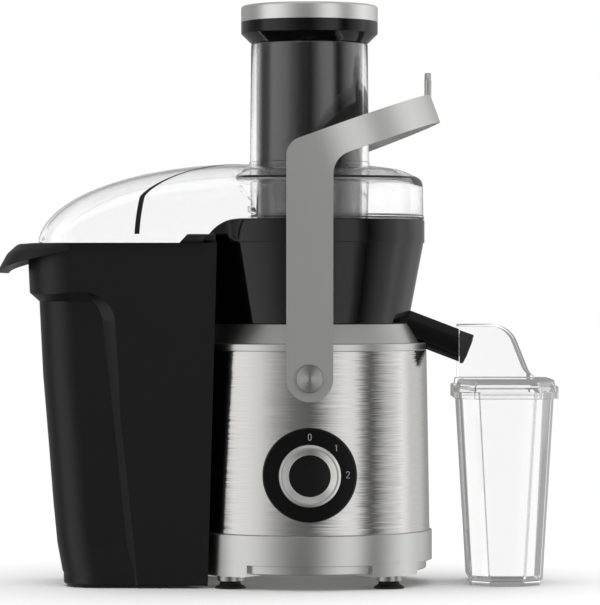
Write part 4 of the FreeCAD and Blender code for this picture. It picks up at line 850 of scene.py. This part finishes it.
# one level of the container: flat sides, a rounded left end, hollowed towards the motor base
def roundedPlan(right, left, half, corner, notch, steps=14):
    points = []
    for k in range(steps + 1):
        a = math.pi / 2 * k / steps
        points.append((left + corner - corner * math.sin(a), half - corner + corner * math.cos(a)))
    points += [(x, -y) for x, y in reversed(points)]
    hollow = []
    hollowSteps = 40
    edge = math.asin(min(half / notch, 0.999))
    fromY = min(half, notch * math.sin(edge))
    for k in range(hollowSteps + 1):
        y = -fromY + 2 * fromY * k / hollowSteps
        hollow.append((-math.sqrt(max(notch ** 2 - y ** 2, 0)), y))
    # the hollow's ends stop at the container's flat right edge
    hollow = [(min(x, right), y) for x, y in hollow]
    return points + hollow


def containerLayers(levels, inset, bottom, top):
    shell = {"notch": 91.8, "corner": 32.0, "rightTop": -65.0, "rightLow": -71.8}
    rim = levels[-1][0]
    slope = (shell["rightTop"] - shell["rightLow"]) / rim
    layers = []
    for z, left, half in levels:
        z = min(max(z, bottom), top)
        right = shell["rightLow"] + slope * z
        plan = roundedPlan(right - inset * 0.2, left + inset, half - inset, shell["corner"] - inset,
                           shell["notch"] + inset)
        layers.append([(x, y, z) for x, y in plan])
    return layers


# what is cut away for the grip: all that lies left of a leaning line and outside a smaller body
def gripTool(name, levels, extra):
    grip = {"top": 208.6, "depth": 6.4, "lineTop": -137.4, "lineLow": -121.4, "round": 20.0, "bandTop": 8.6,
            "bandLow": 5.4, "face": 70.0}
    top = grip["top"] + extra
    heights = [-4.0] + [top - grip["round"] * (1 - math.sin(math.pi / 2 * k / 10)) for k in range(11)]
    rings = []
    for z in heights:
        share = z / 190
        line = grip["lineLow"] + (grip["lineTop"] - grip["lineLow"]) * share + extra
        band = grip["bandLow"] + (grip["bandTop"] - grip["bandLow"]) * share
        rise = max(z - (top - grip["round"]), 0)
        line -= grip["round"] - math.sqrt(max(grip["round"] ** 2 - rise ** 2, 0))
        face = grip["face"] - 11.0 * (1 - z / 243)
        inner = face - grip["depth"]
        slope = band / grip["depth"]
        rings.append([
            (-260, -face - 14, z), (line + slope * 14, -face - 14, z), (line - band, -inner, z),
            (line - band, inner, z), (line + slope * 14, face + 14, z), (-260, face + 14, z)])
    slab = rawObject(name, layersInto(bmesh.new(), rings))
    smaller = []
    deepest = levelAt(levels, top - grip["depth"])
    for z, left, half in [level for level in levels if level[0] < deepest[0] - 1] + [deepest]:
        depth = gripStand(z) + 0.2
        smaller.append((z, left + depth + extra, half - depth - extra))
    last = levelAt(levels, top + 1)
    smaller.append((last[0], last[1] - 1 + extra, last[2] + 1 - extra))
    rings = []
    for z, left, half in [(-6, smaller[0][1], smaller[0][2])] + smaller:
        rings.append([(x, y, z) for x, y in roundedPlan(-60, left, half, 27.0, 60.0)])
    combined(slab, rawObject("smallerBody", layersInto(bmesh.new(), rings)), "DIFFERENCE")
    return slab


# how far the body stands out beyond the grip; it fades towards the foot
def gripStand(z):
    return 6.2 * min(max((z - 12) / 17, 0.3), 1)


def levelAt(levels, z):
    for (z0, left0, half0), (z1, left1, half1) in zip(levels, levels[1:]):
        if z0 <= z <= z1:
            share = (z - z0) / (z1 - z0)
            return z, left0 + (left1 - left0) * share, half0 + (half1 - half0) * share
    return levels[-1]


# sections of the hand brim, from the middle of the front corner round the left end to the back
def brimSections(rim, tip, half):
    brim = {"corner": 31.0, "left": -199.4, "deep": 20.8, "least": 5.0, "skin": 2.4, "steps": 16}
    centre = (brim["left"] + brim["corner"], half - brim["corner"])
    reach = brim["left"] - tip - 0.6

    def section(share, x, y, normal):
        out = 1.4 + (reach - 1.4) * math.cos(math.pi / 2 * share) ** 1.6
        drop = brim["least"] + (brim["deep"] - brim["least"]) * (1 - share) ** 1.15
        skin = min(brim["skin"], out * 0.5)
        soft = out / reach
        shape = filleted([
            (out, -drop, 0.4 * soft), (out * 0.69, -drop * 0.36, 12 * soft), (out * 0.33, 0, 7 * soft),
            (-2, 0), (-2, -skin * 1.2), (out * 0.33 - skin * 0.4, -skin * 1.2),
            (out - skin * 0.9, -drop + skin * 0.2)], 5)
        return [(x + normal[0] * u, y + normal[1] * u, rim - 0.4 + v) for u, v in shape]

    rings = []
    for side in (-1, 1):
        corner = []
        for k in range(brim["steps"] + 1):
            share = k / brim["steps"]
            turn = math.pi / 2 * share
            normal = (-math.cos(turn), side * math.sin(turn))
            x = centre[0] + brim["corner"] * normal[0]
            y = side * centre[1] + brim["corner"] * normal[1]
            corner.append(section(share, x, y, normal))
        rings += corner[::-1] if side < 0 else corner
    return rings


def makeContainer():
    here = span("pulp_container")
    rim = here.z1
    half = here.y1
    levels = [
        (2.0, -174.4, half - 10.6), (3.0, -175.0, half - 10), (9.6, -175.2, half - 9.9),
        (11.5, -176.0, half - 9.5), (29.2, -179.6, half - 8.5), (31.0, -179.9, half - 8.3),
        (60.0, -182.6, half - 7.2), (100.0, -185.6, half - 5.5), (150.0, -189.6, half - 3.4),
        (208.0, -198.6, half - 1.2), (rim - 1.2, -200.2, half - 0.05), (rim - 0.4, -200.0, half - 0.2),
        (rim, -199.4, half - 0.6),
    ]
    # height, left end with the grip cut away, half depth
    full = [(z, left - gripStand(z) if z < 207 else left, wide) for z, left, wide in levels]
    wall = 2.4
    body = rawObject("pulpContainer", layersInto(bmesh.new(), containerLayers(full, 0, 2.0, rim)))
    combined(body, gripTool("grip", full, 0.0), "DIFFERENCE")
    room = containerLayers([level for level in full if level[0] > 11], wall, 6.0, rim + 3)
    room[-1] = [(x, y, rim + 3) for x, y, _ in room[-1]]
    room = [[(x, y, 6.0) for x, y, _ in room[0]]] + room
    cavity = rawObject("room", layersInto(bmesh.new(), room))
    combined(cavity, gripTool("gripInside", full, wall), "DIFFERENCE")
    combined(body, cavity, "DIFFERENCE")

    combined(body, rawObject("brim", layersInto(bmesh.new(), brimSections(rim, here.x0, half))), "UNION")
    skids = bmesh.new()
    for y in (-42, 42):
        plateInto(skids, [(-160, y - 2), (-100, y - 2), (-100, y + 2), (-160, y + 2)], 0, 2.6, "z", 0.3)
    combined(body, rawObject("skids", skids), "UNION")
    install(finishMesh(body, satinBlack, 24), "container", "satin_black", "pulp_container")
    print("stage: container")


# jug

def chamferedPlan(middle, halfX, halfY, chamfer, roundness=1.6):
    shortX, shortY = halfX - chamfer, halfY - chamfer
    corners = [
        (middle - shortX, -halfY), (middle + shortX, -halfY), (middle + halfX, -shortY),
        (middle + halfX, shortY), (middle + shortX, halfY), (middle - shortX, halfY),
        (middle - halfX, shortY), (middle - halfX, -shortY),
    ]
    return filleted([(x, y, roundness) for x, y in corners], 3)


def makeJug():
    jug = {"wall": 3.0, "floor": 5.0, "chamfer": 13.0, "halfBottom": 25.9, "depthBottom": 44.0,
           "footInset": 1.8, "footHeight": 3.2}
    here = span("juice_jug")
    middle = (here.x0 + here.x1) / 2
    halfTop, depthTop = (here.x1 - here.x0) / 2, here.y1

    def level(z, inset, chamfer=jug["chamfer"]):
        share = z / here.z1
        halfX = jug["halfBottom"] + (halfTop - jug["halfBottom"]) * share - inset
        halfY = jug["depthBottom"] + (depthTop - jug["depthBottom"]) * share - inset
        return [(x, y, z) for x, y in chamferedPlan(middle, halfX, halfY, chamfer - inset * 0.5)]

    foot, raised = jug["footInset"], jug["footHeight"]
    layers = [
        level(1.4, foot + 4.0), level(0.6, foot + 2.2), level(0.0, foot + 1.2), level(0.0, foot + 0.5),
        level(0.6, foot), level(raised, foot),
        level(raised + 1.2, 0.2), level(raised + 2, 0), level(here.z1 - 0.6, 0), level(here.z1, 0.6),
        level(here.z1, jug["wall"] - 0.6), level(here.z1 - 0.6, jug["wall"]),
        level(jug["floor"] + 2.5, jug["wall"]), level(jug["floor"] + 0.6, jug["wall"] + 0.8),
        level(jug["floor"], jug["wall"] + 2.4),
    ]
    body = meshObject("juiceJug", layersInto(bmesh.new(), layers), clearJug, 20)
    body.visible_glossy = False
    install(body, "jug", "clear", "juice_jug")

    cover = {"wall": 1.4, "plate": 3.0, "raised": 8.6, "chamfer": 13.0, "hoodWall": 1.6, "hoodHalf": 22.0}
    there = span("jug_lid")
    middle = (there.x0 + there.x1) / 2
    halfX, halfY = (there.x1 - there.x0) / 2, there.y1
    skirt, plate = there.z0, here.z1

    def ring(z, inset):
        plan = chamferedPlan(middle, halfX - inset, halfY - inset, cover["chamfer"] - inset * 0.5)
        return [(x, y, z) for x, y in plan]

    wall = cover["wall"]
    layers = [
        ring(plate + 6.6, 5.0), ring(plate, 3.0), ring(plate, wall), ring(skirt + 0.4, wall),
        ring(skirt, wall - 0.4), ring(skirt, 0.4), ring(skirt + 0.4, 0),
        ring(plate + cover["plate"] + 0.4, 0), ring(plate + cover["plate"] + 1.2, 0.8),
        ring(plate + cover["plate"] + 1.2, 2.2), ring(plate + cover["raised"] - 0.6, 2.8),
        ring(plate + cover["raised"], 3.4),
    ]
    lidPiece = rawObject("jugLid", layersInto(bmesh.new(), layers))
    top = plate + cover["raised"]
    left = there.x0 + 3.6
    high = there.z1

    def hood(inset, low):
        points = [
            (left, low), (left, high - inset), (left + 36.5 - inset * 0.6, high - inset, 19 - inset),
            (left + 52.2 - inset, top - 0.1, 12 + inset), (left + 62, top - 0.1), (left + 62, low)]
        return filleted(points, 10)

    outer = plateInto(bmesh.new(), hood(0, plate + 0.5), -cover["hoodHalf"], cover["hoodHalf"], "y", 0.8)
    inner = hood(cover["hoodWall"], plate - 0.5)
    inner[0] = (left - 3, plate - 0.5)
    inner[1] = (left - 3, high - cover["hoodWall"])
    inner = [p for p in inner if p[0] < left + 51]
    inner.append((left + 51, plate - 0.5))
    hollow = plateInto(bmesh.new(), inner, -cover["hoodHalf"] + cover["hoodWall"],
                       cover["hoodHalf"] - cover["hoodWall"], "y")
    combined(lidPiece, rawObject("hoodOuter", outer), "UNION")
    combined(lidPiece, rawObject("hoodInner", hollow), "DIFFERENCE")
    lidPiece.visible_glossy = False
    install(finishMesh(lidPiece, clearJug, 22), "jug", "clear", "jug_lid")
    print("stage: jug")


# filter basket

# a flat grid punched cell by cell, rolled into a cone and given its thickness
def perforatedCone(tree, given):
    columns = arithmetic(tree, "ADD", given["Around"], 1)
    rows = arithmetic(tree, "ADD", given["Rows"], 1)
    sheet = addNode(tree, "GeometryNodeMeshGrid", {"Size X": 1.0, "Size Y": 1.0},
                    {"Vertices X": columns, "Vertices Y": rows})
    place = addNode(tree, "GeometryNodeInputPosition")
    axes = addNode(tree, "ShaderNodeSeparateXYZ", None, {"Vector": place.outputs["Position"]})
    # the first and last rows stay solid as hems
    inside = arithmetic(tree, "LESS_THAN", arithmetic(tree, "ABSOLUTE", axes.outputs["Y"]), 0.46)
    cells = addNode(tree, "GeometryNodeExtrudeMesh",
                    {"mode": "FACES", "Offset Scale": 0.0, "Individual": True},
                    {"Mesh": sheet.outputs["Mesh"], "Selection": inside})
    shrunk = addNode(tree, "GeometryNodeScaleElements", {"domain": "FACE"},
                     {"Geometry": cells.outputs["Mesh"], "Selection": cells.outputs["Top"],
                      "Scale": given["Open"]})
    punched = addNode(tree, "GeometryNodeDeleteGeometry", {"domain": "FACE"},
                      {"Geometry": shrunk.outputs["Geometry"], "Selection": cells.outputs["Top"]})
    rise = arithmetic(tree, "ADD", axes.outputs["Y"], 0.5)
    angle = arithmetic(tree, "MULTIPLY", axes.outputs["X"], 2 * math.pi)
    wider = arithmetic(tree, "SUBTRACT", given["Top Radius"], given["Base Radius"])
    radius = arithmetic(tree, "ADD", given["Base Radius"], arithmetic(tree, "MULTIPLY", rise, wider))
    taller = arithmetic(tree, "SUBTRACT", given["Top"], given["Bottom"])
    height = arithmetic(tree, "ADD", given["Bottom"], arithmetic(tree, "MULTIPLY", rise, taller))
    onCone = polarPoint(tree, radius, angle, height)
    rolled = addNode(tree, "GeometryNodeSetPosition", None,
                     {"Geometry": punched.outputs["Geometry"], "Position": onCone})
    closed = addNode(tree, "GeometryNodeMergeByDistance", {"Distance": 0.00002},
                     {"Geometry": rolled.outputs["Geometry"]})
    thick = addNode(tree, "GeometryNodeExtrudeMesh", {"mode": "FACES", "Individual": False},
                    {"Mesh": closed.outputs["Geometry"], "Offset Scale": given["Thickness"]})
    back = addNode(tree, "GeometryNodeFlipFaces", None, {"Mesh": closed.outputs["Geometry"]})
    both = addNode(tree, "GeometryNodeJoinGeometry")
    tree.links.new(thick.outputs["Mesh"], both.inputs["Geometry"])
    tree.links.new(back.outputs["Mesh"], both.inputs["Geometry"])
    joined = addNode(tree, "GeometryNodeMergeByDistance", {"Distance": 0.00002},
                     {"Geometry": both.outputs["Geometry"]})
    return joined.outputs["Geometry"]


# small leaning teeth on rings that are turned a little against each other
def graterTeeth(tree, given):
    total = arithmetic(tree, "MULTIPLY", given["Rings"], given["Per Ring"])
    seats = addNode(tree, "GeometryNodePoints", None, {"Count": total})
    number = addNode(tree, "GeometryNodeInputIndex")
    ring = arithmetic(tree, "FLOOR", arithmetic(tree, "DIVIDE", number.outputs["Index"], given["Per Ring"]))
    step = arithmetic(tree, "DIVIDE", 2 * math.pi, given["Per Ring"])
    shifted = arithmetic(tree, "ADD", number.outputs["Index"], arithmetic(tree, "MULTIPLY", ring, 0.37))
    angle = arithmetic(tree, "MULTIPLY", shifted, step)
    outward = arithmetic(tree, "MULTIPLY", ring, given["Ring Step"])
    radius = arithmetic(tree, "ADD", given["First Radius"], outward)
    spot = polarPoint(tree, radius, angle, given["Height"])
    placed = addNode(tree, "GeometryNodeSetPosition", None,
                     {"Geometry": seats.outputs["Points"], "Position": spot})
    tooth = addNode(tree, "GeometryNodeMeshCone",
                    {"Vertices": 3, "Side Segments": 1, "Radius Top": 0.00015},
                    {"Radius Bottom": given["Tooth"], "Depth": given["Tooth Height"]})
    shaped = addNode(tree, "GeometryNodeTransform",
                     {"Scale": (1.5, 0.6, 1.0), "Rotation": (0.25, 0.0, 0.0)},
                     {"Geometry": tooth.outputs["Mesh"]})
    turned = addNode(tree, "ShaderNodeCombineXYZ", None, {"Z": angle})
    cutters = addNode(tree, "GeometryNodeInstanceOnPoints", None,
                      {"Points": placed.outputs["Geometry"], "Instance": shaped.outputs["Geometry"],
                       "Rotation": turned.outputs["Vector"]})
    return cutters.outputs["Instances"]


def makeBasket():
    basket = {"baseRadius": 54.5, "wall": 0.6, "around": 132, "rows": 22, "open": 0.56}
    here = span("filter_mesh")
    cone = nodeModifier("filterMesh", {
        "Around": ("NodeSocketInt", basket["around"]),
        "Rows": ("NodeSocketInt", basket["rows"]),
        "Open": ("NodeSocketFloat", basket["open"]),
        "Base Radius": ("NodeSocketFloat", basket["baseRadius"] / 1000),
        "Top Radius": ("NodeSocketFloat", (here.x1 - basket["wall"]) / 1000),
        "Bottom": ("NodeSocketFloat", here.z0 / 1000),
        "Top": ("NodeSocketFloat", here.z1 / 1000),
        "Thickness": ("NodeSocketFloat", basket["wall"] * 0.8 / 1000),
        "Material": ("NodeSocketMaterial", turnedSteel),
    }, perforatedCone)
    install(cone, "rotor", "filter_steel", "filter_mesh")

    disc = span("grater_disc")
    teeth = {"rings": 7, "perRing": 30, "first": 23.0, "step": 3.4, "size": 1.1, "height": 2.2}
    points = nodeModifier("graterTeeth", {
        "Rings": ("NodeSocketInt", teeth["rings"]),
        "Per Ring": ("NodeSocketInt", teeth["perRing"]),
        "First Radius": ("NodeSocketFloat", teeth["first"] / 1000),
        "Ring Step": ("NodeSocketFloat", teeth["step"] / 1000),
        "Tooth": ("NodeSocketFloat", teeth["size"] / 1000),
        "Tooth Height": ("NodeSocketFloat", teeth["height"] / 1000),
        "Height": ("NodeSocketFloat", (disc.z0 + 1.2) / 1000),
        "Material": ("NodeSocketMaterial", turnedSteel),
    }, graterTeeth)
    install(points, "rotor", "filter_steel")
    print("stage: basket")


makeBase()
makeSleeve()
makeBowl()
makeLid()
makePusher()
makeBail()
makeDial()
makeContainer()
makeJug()
makeBasket()


# the CAD nodes that keep their own shape

def dressFrame():
    finishes = {
        "satin_silver": silverLacquer, "brushed_steel": steel, "bail_metal": castAluminium,
        "pin_metal": turnedSteel, "rubber": rubber, "screw_steel": turnedSteel,
        "black_housing": housingBlack, "motor_steel": turnedSteel,
        "copper": satinMetal("enamelledCopperWire", "#B5714A", 0.3), "cast_frame": castAluminium,
        "bronze": satinMetal("sinteredBronze", "#A87C4A", 0.45), "carbon": housingBlack,
        "shaft_steel": turnedSteel, "board": mouldedPlastic("glassFibreBoard", "#1F5A38", 0.5),
        "gloss_black": glossBlack, "satin_black": satinBlack, "basket_plastic": feedGrey,
        "filter_steel": turnedSteel, "clear": clearLid, "cap_silver": spunSilver,
    }
    slots = {part["node"]: part["material_slot"] for part in frame["record"]["subparts"]}
    for name, item in frame["nodes"].items():
        for slot in item.material_slots:
            slot.material = finishes[slots[name]]
    print("stage: frame dressed")


dressFrame()


# floor, light and camera

def makeFloor():
    floor = {"radius": 0.9, "colour": "#F4F4F4"}
    bm = bmesh.new()
    bmesh.ops.create_circle(bm, cap_ends=True, segments=96, radius=floor["radius"])
    mesh = bpy.data.meshes.new("floor")
    bm.to_mesh(mesh)
    bm.free()
    disc = bpy.data.objects.new("floor", mesh)
    scene.collection.objects.link(disc)
    # kept out of reflections, so that polished parts mirror the studio alone
    disc.visible_glossy = False
    mesh.materials.append(newMaterial("paleFloor", floor["colour"], 0.7)[0])


# a white room with upright strip lights round the object and a soft panel above it
def makeWorld():
    world = bpy.data.worlds.new("softStudio")
    scene.world = world
    world.use_nodes = True
    tree = world.node_tree
    tree.nodes.clear()
    coords = addNode(tree, "ShaderNodeTexCoord")
    axes = addNode(tree, "ShaderNodeSeparateXYZ", None, {"Vector": coords.outputs["Generated"]})
    # the direction round the room, 0 at the camera, growing to the right
    toCamera = arithmetic(tree, "MULTIPLY", axes.outputs["Y"], -1.0)
    turn = arithmetic(tree, "ARCTAN2", axes.outputs["X"], toCamera)
    share = addNode(tree, "ShaderNodeMapRange", {"From Min": -math.pi, "From Max": math.pi}, {"Value": turn})
    # direction in degrees, brightness
    panels = [
        (-180, 0.3), (-132, 0.35), (-106, 0.2), (-92, 0.3), (-80, 0.95), (-62, 0.92), (-46, 0.74),
        (-32, 0.42), (-17, 0.19), (2, 0.12), (10, 0.3), (21, 0.66), (32, 0.92), (46, 0.92), (53, 0.35),
        (61, 0.06), (67, 0.2), (80, 0.6), (94, 0.85), (102, 1.08), (114, 0.74), (134, 0.68), (150, 0.4),
        (180, 0.3),
    ]
    strips = rampFrom(tree, share.outputs["Result"], [((a + 180) / 360, level) for a, level in panels])
    # height in the room, from the ground (0) through the horizon (0.5) to straight above (1)
    height = addNode(tree, "ShaderNodeMapRange", {"From Min": -1.0, "From Max": 1.0},
                     {"Value": axes.outputs["Z"]})
    level = rampFrom(tree, height.outputs["Result"],
                     [(0.0, 0.3), (0.2, 1.0), (0.72, 1.0), (0.86, 0.0), (1.0, 0.0)])
    above = rampFrom(tree, height.outputs["Result"], [(0.0, 0.0), (0.76, 0.0), (0.88, 2.0), (1.0, 2.0)])
    path = addNode(tree, "ShaderNodeLightPath")
    # the panel above lights matt surfaces; polished ones mirror little of it
    shiny = arithmetic(tree, "MAXIMUM", path.outputs["Is Glossy Ray"], path.outputs["Is Transmission Ray"])
    panel = addNode(tree, "ShaderNodeMapRange", {"To Min": 1.0, "To Max": 0.15}, {"Value": shiny})
    overhead = arithmetic(tree, "MULTIPLY", above, panel.outputs["Result"])
    room = arithmetic(tree, "ADD", arithmetic(tree, "MULTIPLY", strips, level), overhead)
    # clear parts are seen against a white backdrop that ends a little outside the view
    behind = rampFrom(tree, share.outputs["Result"],
                      [(0.0, 1.0), (0.15, 1.0), (0.19, 0.0), (0.81, 0.0), (0.85, 1.0), (1.0, 1.0)])
    low = rampFrom(tree, height.outputs["Result"], [(0.36, 0.0), (0.4, 1.0), (0.64, 1.0), (0.68, 0.0)])
    screen = arithmetic(tree, "MULTIPLY", arithmetic(tree, "MULTIPLY", behind, low), 1.1)
    mixed = addNode(tree, "ShaderNodeMix", {"data_type": "FLOAT"},
                    {"Factor": path.outputs["Is Transmission Ray"], "A": room,
                     "B": arithmetic(tree, "MAXIMUM", room, screen)})
    shown = arithmetic(tree, "MAXIMUM", mixed.outputs["Result"], path.outputs["Is Camera Ray"])
    light = addNode(tree, "ShaderNodeBackground", {"Color": (1, 1, 1, 1)}, {"Strength": shown})
    output = addNode(tree, "ShaderNodeOutputWorld")
    tree.links.new(light.outputs["Background"], output.inputs["Surface"])


# a brightness that changes along a value; stops may be brighter than 1
def rampFrom(tree, source, stops):
    top = max(level for _, level in stops)
    ramp = addNode(tree, "ShaderNodeValToRGB", None, {"Fac": source})
    elements = ramp.color_ramp.elements
    while len(elements) < len(stops):
        elements.new(0.5)
    for element, (place, level) in zip(elements, stops):
        element.position = place
        element.color = (level / top, level / top, level / top, 1)
    return arithmetic(tree, "MULTIPLY", ramp.outputs["Color"], top)


def makeCamera():
    view = {"distance": 2.664, "height": 0.2102, "side": -0.0068, "widthSeen": 0.432, "shiftY": -0.0208}
    camera = bpy.data.cameras.new("camera")
    camera.sensor_fit = "HORIZONTAL"
    camera.lens = camera.sensor_width * view["distance"] / view["widthSeen"]
    camera.shift_y = view["shiftY"]
    camera.clip_end = 100
    holder = bpy.data.objects.new("camera", camera)
    holder.location = (view["side"], -view["distance"], view["height"])
    holder.rotation_euler = (math.pi / 2, 0, 0)
    scene.collection.objects.link(holder)
    scene.camera = holder
    scene.view_settings.view_transform = "Standard"


makeFloor()
makeWorld()
makeCamera()
print("stage: studio")
